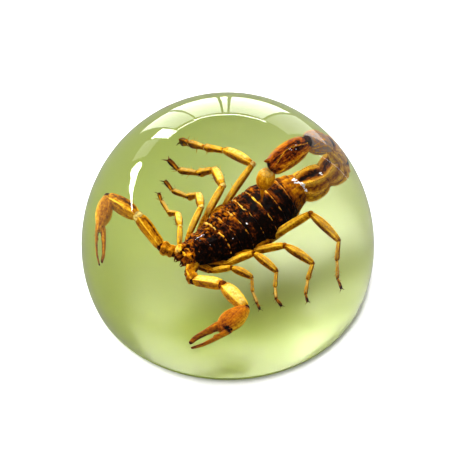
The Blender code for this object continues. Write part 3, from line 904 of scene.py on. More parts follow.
def build_belly(skin):
    """The wrinkled membrane at the sides, and six smooth plates under the belly."""
    rows, columns = 150, 72
    share = np.linspace(0.9, 25.2, rows)
    middle_y, half, top, low = np.moveaxis(smooth(TRUNK, share), 1, 0)
    centre = low + WIDEST_SHARE * (top - low)
    middle = np.stack([-share, middle_y, centre], axis=1)
    trim = blunt((share - share[0]) / (share[-1] - share[0]), 0.03, 0.03)

    def relief(along, turned):
        spot = np.stack([along * 24.3, 4 * np.cos(turned), 3 * np.sin(turned)], axis=-1)
        flank = np.clip(1 - np.abs(np.sin(turned)) * 1.3, 0, 1)
        wrinkles = 0.16 * clouds(spot * (2.2, 1, 1), 0.9) + 0.1 * flank * clouds(spot, 0.45, 5.0)
        return trim[:, None] * (wrinkles - 0.12)

    def paint(along, turned):
        spot = np.stack([along * 24.3, 4 * np.cos(turned), 3 * np.sin(turned)], axis=-1)
        lumps = clouds(spot * (2.2, 1, 1), 0.9)
        return {"brown": 0.72 - 0.3 * lumps, "rust": 0.25}

    tall = 0.5 * (top - low) - 0.45
    tube(
        skin,
        middle + np.outer(0.5 * (top + low) - centre, (0, 0, 1)),
        (0, 1, 0),
        (0, 0, 1),
        (half - 0.3) * trim,
        tall * trim,
        sides=columns,
        square=2.6,
        relief=relief,
        paint=paint,
    )
    front = BELLY_PLATE_ENDS[0] - 2.2
    for number, end in enumerate(BELLY_PLATE_ENDS):
        start = front - 0.5
        back = np.linspace(start, end, int(8 * (end - start)))[:, None]
        turn = np.radians(np.linspace(196, 344, 72))[None, :]
        base = trunk_points(back, turn)
        share = across_share(back, base)
        along = (back - start) / (end - start)
        lift = -0.3 * (1 - step(0.0, 0.25, along)) + 0.12 * step(0.6, 1.0, along) - 0.1 * step(0.96, 1.0, along)
        slit = np.exp(-(((along - 0.55) / 0.1) ** 2) - ((np.abs(share) - 0.66) / 0.09) ** 2)
        lift = lift - 0.22 * slit + 0.03 * clouds(base, 0.8, 2.0)
        lift = lift - 0.12 * bell(np.abs(share), 0.4, 0.06) * step(0.3, 0.7, along)
        marks = {
            "brown": 0.42 + 0.5 * slit - 0.25 * step(0.9, 0.97, along) + 0.14 * clouds(base, 1.8, 4.0),
            "rust": 0.15,
        }
        sheet(skin, trunk_points(back, turn, lift), trunk_points(back, turn, lift - 0.3), marks)
        front = end


def build_jaws(skin):
    """Two small jaws, each a swollen hand with a fixed and a moving tooth-like finger."""
    for side in (1, -1):
        root, tip = Vector((-1.8, side * 0.8, 12.3)), Vector((-0.05, side * 0.8, 12.0))
        limb(skin, root, tip, 1.35, 1.5, KNOB, square=2.6, paint=limb_marks(0.56, 0.25, seam=0.3, rust=0.5))
        along = direction(side * -6, -30)
        for lean, length, thickness in ((0.34, 1.0, 0.5), (-0.34, 0.85, 0.44)):
            horn(
                skin,
                tip + Vector((-0.15, side * lean, -0.05)),
                along,
                (0, -side * lean, -0.2),
                length,
                thickness,
                curl=0.3,
                paint=lambda share, turn: {"brown": 0.6 + 0.2 * share, "rust": 0.5},
            )


def build_eyes(skin):
    """The middle pair of eyes on their mound and three small ones at each front corner."""
    middle, half, top, low = smooth(TRUNK, 4.15)
    for side in (1, -1):
        ball(skin, (-4.15, middle + side * 0.36, top + 0.42), 0.24, {}, stretch=(1.0, 0.8, 1.0))
        for number in range(3):
            back = 0.8 + 0.42 * number
            middle_y, half_there, top_there, low_there = smooth(TRUNK, back)
            centre = low_there + WIDEST_SHARE * (top_there - low_there)
            place = (-back, middle_y + side * (half_there + 0.16), centre + 0.95 - 0.1 * number)
            ball(skin, place, 0.15 - 0.02 * number, {})


# ---------------------------------------------------------------------------- limbs


def build_leg(skin, name):
    """A walking leg from its coxa to its pair of claws, with bristly outer joints."""
    side, pair = name.split("_")
    pair, sign = int(pair), 1 if side == "left" else -1
    far = side == "right"
    hip, headings, rises = LEG_POSES[name]
    places = chain(hip, LEG_LENGTHS[pair], headings, rises)
    root, scale = COXA_ROOTS[pair], LEG_SCALE[pair] * SLIM_LEGS.get(name, 1.0)
    hip_way = (places[0] - Vector((root[0], sign * root[1], COXA_HEIGHT))).normalized()
    knob = places[0] - hip_way * 0.55 * scale
    coxa = COXA_WIDTH * scale
    limb(
        skin,
        (root[0], sign * root[1], COXA_HEIGHT),
        knob,
        coxa,
        coxa,
        ((0, 1.1), (0.5, 1.0), (1, 0.8)),
        square=2.6,
        paint=limb_marks(0.4, 0.3, seam=0.25),
    )
    first_way = (places[1] - places[0]).normalized()
    if name in TROCHANTERS:
        limb(
            skin,
            TROCHANTERS[name],
            places[0],
            1.5 * scale,
            1.8 * scale,
            LEAF,
            relief=keeled(((60, 0.1), (120, 0.1)), 10),
            paint=limb_marks(0.46, 0.2, ridge=0.3, seam=0.2, dotted=0.8),
        )
    limb(
        skin,
        knob - hip_way * 0.25,
        places[0] + first_way * 0.3 * scale,
        1.05 * scale,
        1.15 * scale,
        KNOB,
        rings=14,
        paint=limb_marks(0.36, 0.2, seam=0.3),
    )
    # Far-side legs are whitened more along their upper faces: painted highlight.
    pale = (0.35, 0.75, 0.5) if far else (0.12, 0.25, 0.3)
    bristly = 0.3 if far else 0.1
    looks = (
        limb_marks(0.27, 0.12, ridge=0.32, seam=0.3, bleach=pale[0], bristly=0.05, dotted=0.6),
        limb_marks(0.31, 0.26, ridge=0.34, seam=0.3, bleach=pale[1], bristly=bristly, dotted=0.9),
        limb_marks(0.38, 0.16, seam=0.3, bleach=pale[2], bristly=0.8),
        limb_marks(0.42, 0.1, seam=0.4, bleach=0.6, bristly=1.0, dotted=0.8, far_end=0.16),
        limb_marks(0.6, 0.15, seam=0.3, bristly=0.9, dotted=0.9, far_end=0.25),
    )
    bows = (0.03, 0.035, 0.02, 0.025, 0.04)
    ridges = ((52, 0.07), (128, 0.07), (-62, 0.05), (242, 0.05))
    for number, depth in enumerate(LEG_DEPTHS):
        depth *= scale
        limb(
            skin,
            places[number],
            places[number + 1],
            0.72 * depth,
            depth,
            LEG_FORMS[number],
            bow=bows[number],
            sides=32,
            rings=26,
            square=2.5,
            relief=keeled(ridges, 9),
            paint=looks[number],
        )
        if number < 4:
            knee = 0.36 * min(depth, LEG_DEPTHS[number + 1] * scale)
            # The far legs' knees are whitened too: painted highlight.
            ball(skin, places[number + 1], knee, {"brown": 0.56, "rust": 0.3, "bleach": 0.8 * far})
    if pair > 2:
        spur_way = (places[3] - places[2]).normalized()
        across, upward = axes_of(spur_way)
        for lean in (1, -1):
            horn(
                skin,
                places[3] - upward * 0.2 * scale,
                spur_way - 0.7 * upward + 0.4 * lean * across,
                spur_way,
                0.55 * scale,
                0.14 * scale,
                paint=lambda share, turn: {"brown": 0.5 + 0.3 * share},
            )
    last_way = (places[5] - places[4]).normalized()
    across, upward = axes_of(last_way)
    for lean in (1, -1):
        horn(
            skin,
            places[5] - last_way * 0.08,
            last_way + 0.8 * lean * across + 0.25 * upward,
            -1.0 * upward + 0.1 * last_way,
            0.9 * scale,
            0.2 * scale,
            curl=0.45,
            paint=lambda share, turn: {"brown": 0.66 + 0.16 * share, "rust": 0.5},
        )
    horn(
        skin,
        places[5] - last_way * 0.15 - upward * 0.12,
        last_way - upward,
        last_way,
        0.3 * scale,
        0.13 * scale,
        paint=lambda share, turn: {"brown": 0.7},
    )
    return places


def finger(skin, root, tip, inward, thick, bow, lobe, notch, rust, hinged):
    """A blunt finger that hooks inwards; its biting edge has a notch near the root and then a lobe.

    hinged darkens its root, where the membrane of its hinge shows.
    """
    root, tip = Vector(root), Vector(tip)
    along = (tip - root).normalized()
    upward = inward.cross(along).normalized()
    share = np.linspace(0, 1, 44)
    curve = bow * (step(0.7, 1.0, share) - np.sin(math.pi * share**0.8))
    middle = np.outer(1 - share, root) + np.outer(share, tip) + np.outer(curve, inward)
    form = ((0, 1.0), (0.15, 0.86), (0.32, 0.66), (0.6, 0.54), (0.9, 0.42), (1, 0.34))
    girth = smooth(form, share)[:, 0] * blunt(share, 0.04, 0.045) * thick / 2

    def relief(along_share, turn):
        biting = bell(off(turn, 0), 0, 48)
        swell = lobe * bell(along_share, 0.34, 0.05) - notch * bell(along_share, 0.2, 0.07)
        return biting * swell + 0.03 * thick * bell(off(turn, 90), 0, 20)

    def paint(along_share, turn):
        pale = bell(off(turn, 180), 0, 30) + bell(off(turn, 60), 0, 14)
        dark = 0.22 * step(0.92, 1.0, along_share) + 0.4 * hinged * bell(along_share, 0.1, 0.03)
        return {
            "brown": 0.42 + 0.14 * along_share + dark - 0.14 * pale,
            "rust": 0.8 * rust + 0 * turn,
            "bristly": 0.1 + 0 * turn,
        }

    tube(skin, middle, inward, upward, girth, girth * 0.95, sides=24, square=2.2, relief=relief, paint=paint)
    return middle + np.outer(girth, inward)


def build_arm(skin, side):
    """A pincer arm: coxa and trochanter, keeled femur and patella, a swollen palm and two fingers."""
    start, headings, rises = ARM_POSES[side]
    sign = 1 if side == "left" else -1
    near = side == "left"
    places = chain(start, ARM_LENGTHS, headings, rises)
    root = Vector((ARM_ROOT[0], sign * ARM_ROOT[1], ARM_ROOT[2]))
    ways = [(b - a).normalized() for a, b in zip(places, places[1:])]
    banded = limb_marks(0.36, 0.2, ridge=0.36, seam=0.35, rust=0.2, dotted=0.8)
    prism = ((45, 0.2), (135, 0.2), (-45, 0.14), (225, 0.14), (0, 0.08), (180, 0.08))
    limb(skin, root, places[0] + 0.6 * ways[0], 2.1, 2.2, KNOB, square=2.6, paint=banded)
    for place in (places[0] + 0.4 * ways[0], places[1]):
        ball(skin, place, 0.86, {"brown": 0.74, "rust": 0.5})
    limb(
        skin,
        places[0] + 0.5 * ways[0],
        places[1],
        1.9,
        2.1,
        KNUCKLE,
        rings=24,
        square=3.0,
        relief=keeled(((52, 0.26), (128, 0.26), (0, 0.2), (180, 0.2), (-62, 0.2), (242, 0.2)), 11),
        paint=banded,
    )
    lens_at = (2, 178) if near else (66, 0)
    # The near femur and patella and the far knee are whitened as painted highlight.
    femur = limb_marks(
        0.34, 0.12 if near else 0.2, seam=0.3, bleach=0.8 * near, rust=0.1, dotted=1.0, bristly=0.05, lens_at=lens_at
    )
    limb(
        skin,
        places[1] + 0.1 * ways[1],
        places[2],
        1.75,
        1.8,
        PRISM,
        bow=0.02,
        sides=40,
        rings=36,
        square=3.2,
        relief=keeled(prism, 8),
        paint=femur,
    )
    ball(skin, places[2], 1.0, {"brown": 0.62, "rust": 0.6, "bleach": 0.9 * (not near)})
    patella = limb_marks(
        0.3, 0.1 if near else 0.42, seam=0.3, bleach=1.0 if near else 0.0, dotted=1.0, bristly=0.08, lens_at=lens_at
    )
    limb(
        skin,
        places[2],
        places[3],
        2.5 if near else 2.2,
        2.3,
        LEAF,
        bow=0.03,
        sides=40,
        rings=36,
        square=2.8,
        relief=keeled(prism, 8),
        paint=patella,
    )
    ball(skin, places[3], 0.85, {"brown": 0.8, "rust": 0.5})
    redness = 0.62 if near else 0.15
    across, upward = axes_of(ways[3])
    outer = 1 if across.dot(Vector((0, sign, 0))) > 0 else -1
    outward = across * outer
    hinge_turn = 26 if outer > 0 else 154

    def palm_marks(share, turn):
        rim = bell(off(turn, 4), 0, 34) + bell(off(turn, 176), 0, 34)
        streak = 0.08 * bell(off(turn, 84), 0, 22) * bell(share, 0.55, 0.3)
        hinge = 0.9 * near * bell(off(turn, hinge_turn), 0, 44) * bell(share, 0.89, 0.055)
        brown = 0.36 + 0.12 * step(0.4, 1.0, share) * near - 0.22 * rim + 0.35 * bell(share, 0.02, 0.04)
        return {
            "brown": brown + streak + hinge,
            "rust": redness * (1 - 0.9 * rim),
            "dotted": 0.15 + 0 * rim,
            "bristly": 0.1 + 0 * rim,
        }

    palm_keels = ((62, 0.08), (118, 0.08), (-60, 0.06), (240, 0.06), (4, 0.06), (176, 0.06))
    limb(
        skin,
        places[3],
        places[4],
        5.1 if near else 3.5,
        3.6 if near else 3.2,
        PALM if near else SLIM_PALM,
        bow=0.02,
        sides=44,
        rings=44,
        square=2.15,
        relief=keeled(palm_keels, 9),
        paint=palm_marks,
    )
    edges = []
    stout = 1.0 if near else 0.62
    spread = FINGER_SPREAD[side][1]
    shapes = ((-1, 2.6, 0.16, 0.26), (1, 2.0, 0.42, 0.4))
    for shape, pose, apart in zip(shapes, FINGERS[side], FINGER_SPREAD[side]):
        lean, thick, lobe, notch = shape
        heading, rise, length = pose
        base = places[4] - ways[3] * FINGER_ROOT + outward * lean * apart
        tip = base + length * direction(heading, rise)
        thick, lobe, notch = thick * stout, lobe * stout, notch * stout
        hinged = near and lean > 0
        edges.append(finger(skin, base, tip, -outward * lean, thick, 0.42, lobe, notch, redness, hinged))
    for number in range(5 if near else 0):
        aside = spread + (0.45 - 0.38 * number) * stout
        bead = places[4] - ways[3] * (1.15 + 0.12 * number) + outward * aside
        ball(skin, bead + upward * 0.3 * stout, (0.5 - 0.03 * number) * stout, {"brown": 0.8, "rust": 0.6})
    dimple = places[4] - ways[3] * 0.8 + (upward * 0.95 - outward * 0.85) * stout
    ball(skin, dimple, 0.3 * stout, {"brown": 0.85, "rust": 0.6})
    return edges


def build_tail(skin):
    """Five keeled rings, the bulb and the sting; returns the keels' lines for their granules."""
    ends = [[piece[key] for key in ("length", "heading", "rise")] for piece in (STING_BULB, STING)]
    joints = [(length, heading, rise) for length, _, _, heading, rise in TAIL_JOINTS] + ends
    places = chain(TAIL_ROOT, *zip(*joints))
    lines = []
    for number, (_, width, height, heading, rise) in enumerate(TAIL_JOINTS):
        last = number == len(TAIL_JOINTS) - 1
        along, left = direction(heading, rise), direction(heading - 90, 0)
        dorsal = direction(heading, rise + 90)
        keels = LAST_KEELS if last else TAIL_KEELS
        hollows = LAST_HOLLOWS if last else TAIL_HOLLOWS
        sides, bow = 72, 0.25 if last else 0.42
        tone, red, dark = TAIL_TONES[number]

        def paint(share, turn):
            swell = np.clip(np.sin(math.pi * share), 0, 1)
            spread = 1 - bow * (1 - swell)
            places_round = [(90 + (centre - 90) * spread, height) for centre, height in keels + hollows]
            crest = sum(height / 0.34 * bell(off(turn, at), 0, 8) for at, height in places_round[: len(keels)])
            crest = np.clip(crest, 0, 1) * (1 - 0.85 * HAZE_AND_REFLECTION[number])
            sunk = sum(depth / 0.3 * bell(off(turn, at), 0, 17) for at, depth in places_round[len(keels) :])
            if last:
                sunk = sunk + 1.3 * bell(off(turn, -76), 0, 42)
            lens = step(0.3, 0.9, swell**0.6 * sunk) * (1 - crest)
            seams = bell(share, 0.02, 0.04) + bell(share, 0.98, 0.035)
            return {
                "brown": tone + dark * lens - 0.34 * crest + 0.45 * seams,
                "rust": red * (1 - 0.4 * crest),
                # Painted highlight on the keels of the first two rings.
                "bleach": 0.3 * crest * (number < 2),
                "dotted": 0.9 - 0.5 * lens,
                "crumbly": 0.14 + 0.2 * last,
                "bristly": 0.03,
                # Grey veil: a film of air and a painted reflection of the dome's rim.
                "hazy": HAZE_AND_REFLECTION[number] + 0.7 * last * bell(off(turn, 186), 0, 24),
            }

        grid = limb(
            skin,
            places[number],
            places[number + 1],
            width - 0.2,
            height - 0.15,
            LAST_RING if last else RING,
            axes=(left, dorsal),
            sides=sides,
            rings=48,
            square=2.3,
            overrun=0.05,
            relief=keeled(keels, 7.0, 0.1, hollows, bow),
            paint=paint,
        )
        ball(skin, places[number], 1.2 + 0.35 * (number in (1, 2)), {"brown": 0.86, "rust": 0.4})
        share = np.linspace(0, 1, 48)[:, None]
        swell = np.sin(math.pi * (0.45 * share + 0.55 * (0.5 - 0.5 * np.cos(math.pi * share))))
        for centre, _ in keels:
            there = (90 + (centre - 90) * (1 - bow * (1 - swell[4:-4, 0]))) % 360
            columns = np.round(there / 360 * sides).astype(int) % sides
            lines.append(grid[4:-4][np.arange(len(columns)), columns])
        if last:
            for lean in (1, -1):
                horn(
                    skin,
                    places[5] - dorsal * 1.0 + left * lean * 0.9 - along * 0.7,
                    along - dorsal * 0.6,
                    -dorsal,
                    1.5,
                    1.1,
                    curl=0.2,
                    paint=lambda share, turn: {"brown": 0.5 + 0.12 * share, "rust": 0.6},
                )
    left = direction(STING_BULB["heading"] - 90, 0)
    dorsal = direction(STING_BULB["heading"], STING_BULB["rise"] + 90)

    def bulb_marks(share, turn):
        flank = sum(bell(off(turn, side), 0, 30) for side in (10, 170))
        pale = bell(share, 0.2, 0.12) + 0.5 * bell(off(turn, 90), 0, 16)
        return {
            "brown": 0.34 + 0.12 * flank + 0.1 * step(0.5, 1.0, share) - 0.16 * pale,
            "rust": 0.15 + 0.25 * flank + 0.4 * step(0.7, 1.0, share),
            # Painted highlight at the bulb's root.
            "bleach": 0.5 * bell(share, 0.06, 0.07),
            "dotted": 0.25 + 0.75 * bell(share, 0.06, 0.12),
            "bristly": 0.1,
        }

    hang = direction(*TAIL_JOINTS[-1][3:]) * BULB_REACH
    limb(
        skin,
        places[5] + hang,
        places[6] + hang,
        STING_BULB["width"],
        STING_BULB["depth"],
        BULB,
        axes=(left, dorsal),
        sides=40,
        rings=36,
        overrun=0.02,
        relief=keeled(((-90, 0.08), (-60, 0.06), (240, 0.06)), 9),
        paint=bulb_marks,
    )
    sting_way = direction(STING["heading"], STING["rise"])
    bend = direction(STING["heading"], 0)
    horn(
        skin,
        places[6] + hang - sting_way * 0.9 - bend * 0.15,
        sting_way,
        bend,
        STING["length"] + 0.9,
        1.05,
        curl=0.1,
        rings=26,
        sides=18,
        tip=0.16,
        paint=lambda share, turn: {"brown": 0.34 + 0.1 * share, "rust": 0.5},
    )
    return lines


# ---------------------------------------------------------------------------- small repeats


def new_tree(name, inputs):
    """A Geometry Nodes tree with named inputs: (tree, its input node, the inputs' identifiers)."""
    tree = bpy.data.node_groups.new(name, "GeometryNodeTree")
    tree.interface.new_socket("Geometry", in_out="INPUT", socket_type="NodeSocketGeometry")
    keys = {}
    for key, kind in inputs.items():
        keys[key] = tree.interface.new_socket(key, in_out="INPUT", socket_type=kind).identifier
    tree.interface.new_socket("Geometry", in_out="OUTPUT", socket_type="NodeSocketGeometry")
    return tree, add_node(tree, "NodeGroupInput"), keys


def bristle_tree():
    """Tapered bristles scattered where the skin is bristly, leaning towards the limb's tip."""
    tree, given, keys = new_tree(
        "bristles",
        {
            "Density": "NodeSocketFloat",
            "Length": "NodeSocketFloat",
            "Width": "NodeSocketFloat",
            "Seed": "NodeSocketInt",
            "Finish": "NodeSocketMaterial",
        },
    )
    bristly = add_node(tree, "GeometryNodeInputNamedAttribute", {"Name": "bristly"}, data_type="FLOAT")
    density = add_node(
        tree, "ShaderNodeMath", {0: bristly.outputs["Attribute"], 1: given.outputs["Density"]}, operation="MULTIPLY"
    )
    spots = add_node(
        tree,
        "GeometryNodeDistributePointsOnFaces",
        {"Mesh": given.outputs["Geometry"], "Density": density.outputs[0], "Seed": given.outputs["Seed"]},
    )
    lie = add_node(tree, "GeometryNodeInputNamedAttribute", {"Name": "lie"}, data_type="FLOAT_VECTOR")
    leaning = add_node(
        tree,
        "ShaderNodeVectorMath",
        {0: lie.outputs["Attribute"], 1: (0.75, 0.75, 0.75), 2: spots.outputs["Normal"]},
        operation="MULTIPLY_ADD",
    )
    turned = add_node(tree, "FunctionNodeAlignRotationToVector", {"Vector": leaning.outputs[0]}, axis="Z")
    spine = add_node(
        tree,
        "GeometryNodeMeshCone",
        {
            "Vertices": 5,
            "Radius Top": 0.004 * MM,
            "Radius Bottom": given.outputs["Width"],
            "Depth": given.outputs["Length"],
        },
        fill_type="NGON",
    )
    lengths = {2: 0.35, 3: 1.15, "Seed": given.outputs["Seed"]}
    long = add_node(tree, "FunctionNodeRandomValue", lengths, data_type="FLOAT")
    placed = add_node(
        tree,
        "GeometryNodeInstanceOnPoints",
        {
            "Points": spots.outputs["Points"],
            "Instance": spine.outputs["Mesh"],
            "Rotation": turned.outputs[0],
            "Scale": long.outputs[1],
        },
    )
    finish_tree(tree, placed, given)
    return tree, keys


def stud_tree():
    """A rounded granule or tooth on every given point, sized and faced by the point's own values."""
    tree, given, keys = new_tree("studs", {"Stretch": "NodeSocketFloat", "Finish": "NodeSocketMaterial"})
    lie = add_node(tree, "GeometryNodeInputNamedAttribute", {"Name": "lie"}, data_type="FLOAT_VECTOR")
    facing = lie.outputs["Attribute"]
    turned = add_node(tree, "FunctionNodeAlignRotationToVector", {"Vector": facing}, axis="Z")
    bead = add_node(tree, "GeometryNodeMeshIcoSphere", {"Radius": 1.0, "Subdivisions": 2})
    smoothed = add_node(tree, "GeometryNodeSetShadeSmooth", {"Geometry": bead.outputs["Mesh"]})
    radius = add_node(tree, "GeometryNodeInputNamedAttribute", {"Name": "radius_there"}, data_type="FLOAT")
    tall = add_node(
        tree, "ShaderNodeMath", {0: radius.outputs["Attribute"], 1: given.outputs["Stretch"]}, operation="MULTIPLY"
    )
    scale = add_node(
        tree,
        "ShaderNodeCombineXYZ",
        {"X": radius.outputs["Attribute"], "Y": radius.outputs["Attribute"], "Z": tall.outputs[0]},
    )
    placed = add_node(
        tree,
        "GeometryNodeInstanceOnPoints",
        {
            "Points": given.outputs["Geometry"],
            "Instance": smoothed.outputs["Geometry"],
            "Rotation": turned.outputs[0],
            "Scale": scale.outputs[0],
        },
    )
    finish_tree(tree, placed, given)
    return tree, keys


def finish_tree(tree, placed, given):
    """End a tree: instances made real, the finish set."""
    real = add_node(tree, "GeometryNodeRealizeInstances", {"Geometry": placed.outputs["Instances"]})
    done = add_node(
        tree, "GeometryNodeSetMaterial", {"Geometry": real.outputs[0], "Material": given.outputs["Finish"]}
    )
    add_node(tree, "NodeGroupOutput", {"Geometry": done.outputs[0]})


def grow(name, host, tree, keys, values):
    """The plain mesh that a tree makes on a host mesh, as a new object."""
    carrier = bpy.data.objects.new(name, host)
    bpy.context.scene.collection.objects.link(carrier)
    modifier = carrier.modifiers.new(tree.name, "NODES")
    modifier.node_group = tree
    for key, value in values.items():
        modifier[keys[key]] = value
    shown = carrier.evaluated_get(bpy.context.evaluated_depsgraph_get())
    mesh = bpy.data.meshes.new_from_object(shown)
    bpy.data.objects.remove(carrier)
    mesh.name = name
    made = bpy.data.objects.new(name, mesh)
    bpy.context.scene.collection.objects.link(made)
    return made


def stud_points(points, facing, radius, marks):
    """A mesh of loose points in place, with the values that the stud tree and the finish read."""
    points = np.asarray(points, float)
    mesh = bpy.data.meshes.new("stud_points")
    mesh.from_pydata(in_place(points).tolist(), [], [])
    give(mesh, "lie", np.broadcast_to(facing, points.shape) @ HEAD_TURN.T)
    give(mesh, "grain", points * MM)
    values = {"radius_there": np.asarray(radius) * MM, **marks}
    for mark in ("radius_there", *MARKS):
        give(mesh, mark, np.broadcast_to(values.get(mark, 0.0), len(points)))
    return mesh


def spaced(line, gap):
    """Points at an even gap along a line."""
    line = np.asarray(line, float)
    run = np.concatenate([[0], np.cumsum(np.linalg.norm(np.diff(line, axis=0), axis=1))])
    places = np.arange(gap / 2, run[-1], gap)
    return np.stack([np.interp(places, run, line[:, axis]) for axis in range(3)], axis=1)


# ---------------------------------------------------------------------------- dome and stage


def dome_radius(height):
    """The dome's radius at a height, in millimetres: an ellipse's quarter above and below the girth."""
    above = height - GIRTH_HEIGHT
    drop = GIRTH_HEIGHT / math.sqrt(1 - (FOOT_RADIUS / GIRTH_RADIUS) ** 2)
    reach = CROWN_TOP - GIRTH_HEIGHT if above > 0 else drop
    return GIRTH_RADIUS * math.sqrt(max(0.0, 1 - (above / reach) ** 2))


def turned_piece(name, profile, around, finish):
    """A closed mesh turned about Z from (radius, height) points in millimetres, top to bottom."""
    grid = bmesh.new()
    rings = []
    for radius, height in profile:
        turns = [2 * math.pi * i / around for i in range(around)] if radius else [0.0]
        rings.append(
            [grid.verts.new((radius * MM * math.cos(t), radius * MM * math.sin(t), height * MM)) for t in turns]
        )
    for upper, lower in zip(rings, rings[1:]):
        for i in range(around):
            j = (i + 1) % around
            corners = [upper[i % len(upper)], lower[i % len(lower)], lower[j % len(lower)], upper[j % len(upper)]]
            grid.faces.new(list(dict.fromkeys(corners)))
    bmesh.ops.recalc_face_normals(grid, faces=grid.faces)
    mesh = bpy.data.meshes.new(name)
    grid.to_mesh(mesh)
    grid.free()
    mesh.shade_smooth()
    mesh.set_sharp_from_angle(angle=math.radians(40))
    mesh.materials.append(finish)
    made = bpy.data.objects.new(name, mesh)
    bpy.context.scene.collection.objects.link(made)
    return made


def studio_light(name, left, right, low, high, brightness):
    """A soft light that faces the dome, between two azimuths and two elevations in degrees."""
    a, e = math.radians((left + right) / 2), math.radians((low + high) / 2)
    away = Vector((math.sin(a) * math.cos(e), math.cos(a) * math.cos(e), math.sin(e)))
    data = bpy.data.lights.new(name, "AREA")
    data.shape = "RECTANGLE"
    data.size = 2 * LIGHT_DISTANCE * math.tan(math.radians(right - left) / 2)
    data.size_y = 2 * LIGHT_DISTANCE * math.tan(math.radians(high - low) / 2)
    data.energy = brightness * data.size * data.size_y * math.pi
    made = bpy.data.objects.new(name, data)
    made.location = Vector(LIGHTS_AIM) + away * LIGHT_DISTANCE
    made.rotation_euler = away.to_track_quat("Z", "Y").to_matrix().to_euler()
    made.visible_camera = False
    bpy.context.scene.collection.objects.link(made)
    return made


# ---------------------------------------------------------------------------- operators


def settle(piece, slot, *nodes):
    """Let a piece ride on the part's one body, in place of the solids that it stands for."""
    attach(piece, "root")
    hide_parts(*nodes)


class CastDome(bpy.types.Operator):
    """Make the clear dome"""

    bl_idname = "scorpion_dome.cast_dome"
    bl_label = "Clear Dome"

    def execute(self, context):
        sizes = context.scene.dome_sizes
        steps = 96
        rise = CROWN_TOP - GIRTH_HEIGHT
        heights = [GIRTH_HEIGHT + rise * math.sin(math.pi / 2 * (1 - i / steps)) for i in range(steps + 1)]
        low = sizes.layer / MM - 0.03
        lower = [GIRTH_HEIGHT - (GIRTH_HEIGHT - low) * i / 16 for i in range(1, 17)]
        side = [(dome_radius(z), z) for z in heights[1:] + lower]
        profile = [(0, heights[0]), *side, (0, low)]
        dome = turned_piece("clear_dome", profile, sizes.around, polished_clear_resin())
        settle(dome, "clear_resin", "resin_dome_upper", "resin_dome_lower")
        return {"FINISHED"}


class PourGlowLayer(bpy.types.Operator):
    """Make the green glow layer under the dome"""

    bl_idname = "scorpion_dome.pour_glow_layer"
    bl_label = "Glow Layer"

    def execute(self, context):
        sizes = context.scene.dome_sizes
        top = sizes.layer / MM
        profile = [
            (0, top),
            (dome_radius(top) - 0.12, top),
            (dome_radius(top - 0.03), top - 0.04),
            (dome_radius(1.0), 1.0),
            (dome_radius(0.5), 0.5),
            (dome_radius(0.3) - 0.1, 0.2),
            (dome_radius(0.0) - 0.5, 0.0),
            (0, 0),
        ]
        layer = turned_piece("glow_base", profile, sizes.around, glow_pigment_resin(context.scene.specimen_colours))
        settle(layer, "glow_resin", "glow_base_layer")
        return {"FINISHED"}


class BuildTrunk(bpy.types.Operator):
    """Make the head shield, back plates, belly, jaws and eyes"""

    bl_idname = "scorpion_dome.build_trunk"
    bl_label = "Trunk"

    def execute(self, context):
        finish = golden_cuticle(context.scene.specimen_colours)
        builds = (
            ("head_shield", build_carapace),
            ("back_plates", build_back_plates),
            ("belly", build_belly),
            ("jaws", build_jaws),
        )
        for name, build in builds:
            skin = Skin()
            build(skin)
            settle(skin.piece(name, finish), "cuticle", "scorpion")
        skin = Skin()
        build_eyes(skin)
        settle(skin.piece("eyes", eye_lens()), "cuticle", "scorpion")
        return {"FINISHED"}


class BuildLegs(bpy.types.Operator):
    """Make the eight walking legs"""

    bl_idname = "scorpion_dome.build_legs"
    bl_label = "Legs"

    def execute(self, context):
        finish = bpy.data.materials["golden_cuticle"]
        for name in LEG_POSES:
            skin = Skin()
            build_leg(skin, name)
            settle(skin.piece(f"leg_{name}", finish), "cuticle", "scorpion")
        return {"FINISHED"}


class BuildPincers(bpy.types.Operator):
    """Make the two pincer arms and the teeth on their fingers"""

    bl_idname = "scorpion_dome.build_pincers"
    bl_label = "Pincers"

    def execute(self, context):
        finish = bpy.data.materials["golden_cuticle"]
        tree, keys = stud_tree()
        for side in ARM_POSES:
            skin = Skin()
            edges = build_arm(skin, side)
            settle(skin.piece(f"pincer_{side}", finish), "cuticle", "scorpion")
            teeth = np.concatenate([spaced(edge[6:-1], 0.24) for edge in edges])
            middle = sum(edge[8] for edge in edges) / 2
            facing = middle - teeth
            host = stud_points(teeth, facing, 0.085, {"brown": 0.8, "rust": 0.3})
            made = grow(f"finger_teeth_{side}", host, tree, keys, {"Stretch": 1.3, "Finish": finish})
            settle(made, "cuticle", "scorpion")
        return {"FINISHED"}


class BuildTail(bpy.types.Operator):
    """Make the tail, its sting and the granules on its keels"""

    bl_idname = "scorpion_dome.build_tail"
    bl_label = "Tail"

    def execute(self, context):
        sizes = context.scene.scorpion_sizes
        finish = bpy.data.materials["golden_cuticle"]
        skin = Skin()
        lines = build_tail(skin)
        settle(skin.piece("tail", finish), "cuticle", "scorpion")
        points = np.concatenate([spaced(line, sizes.spacing / MM) for line in lines])
        tree, keys = stud_tree()
        radius = sizes.granule / MM * (0.8 + 0.4 * (0.5 + 0.5 * clouds(points, 0.4)))
        host = stud_points(points, (0, 0, 1), radius, {"brown": 0.22, "rust": 0.2})
        made = grow("tail_granules", host, tree, keys, {"Stretch": 1.0, "Finish": finish})
        settle(made, "cuticle", "scorpion")
        return {"FINISHED"}


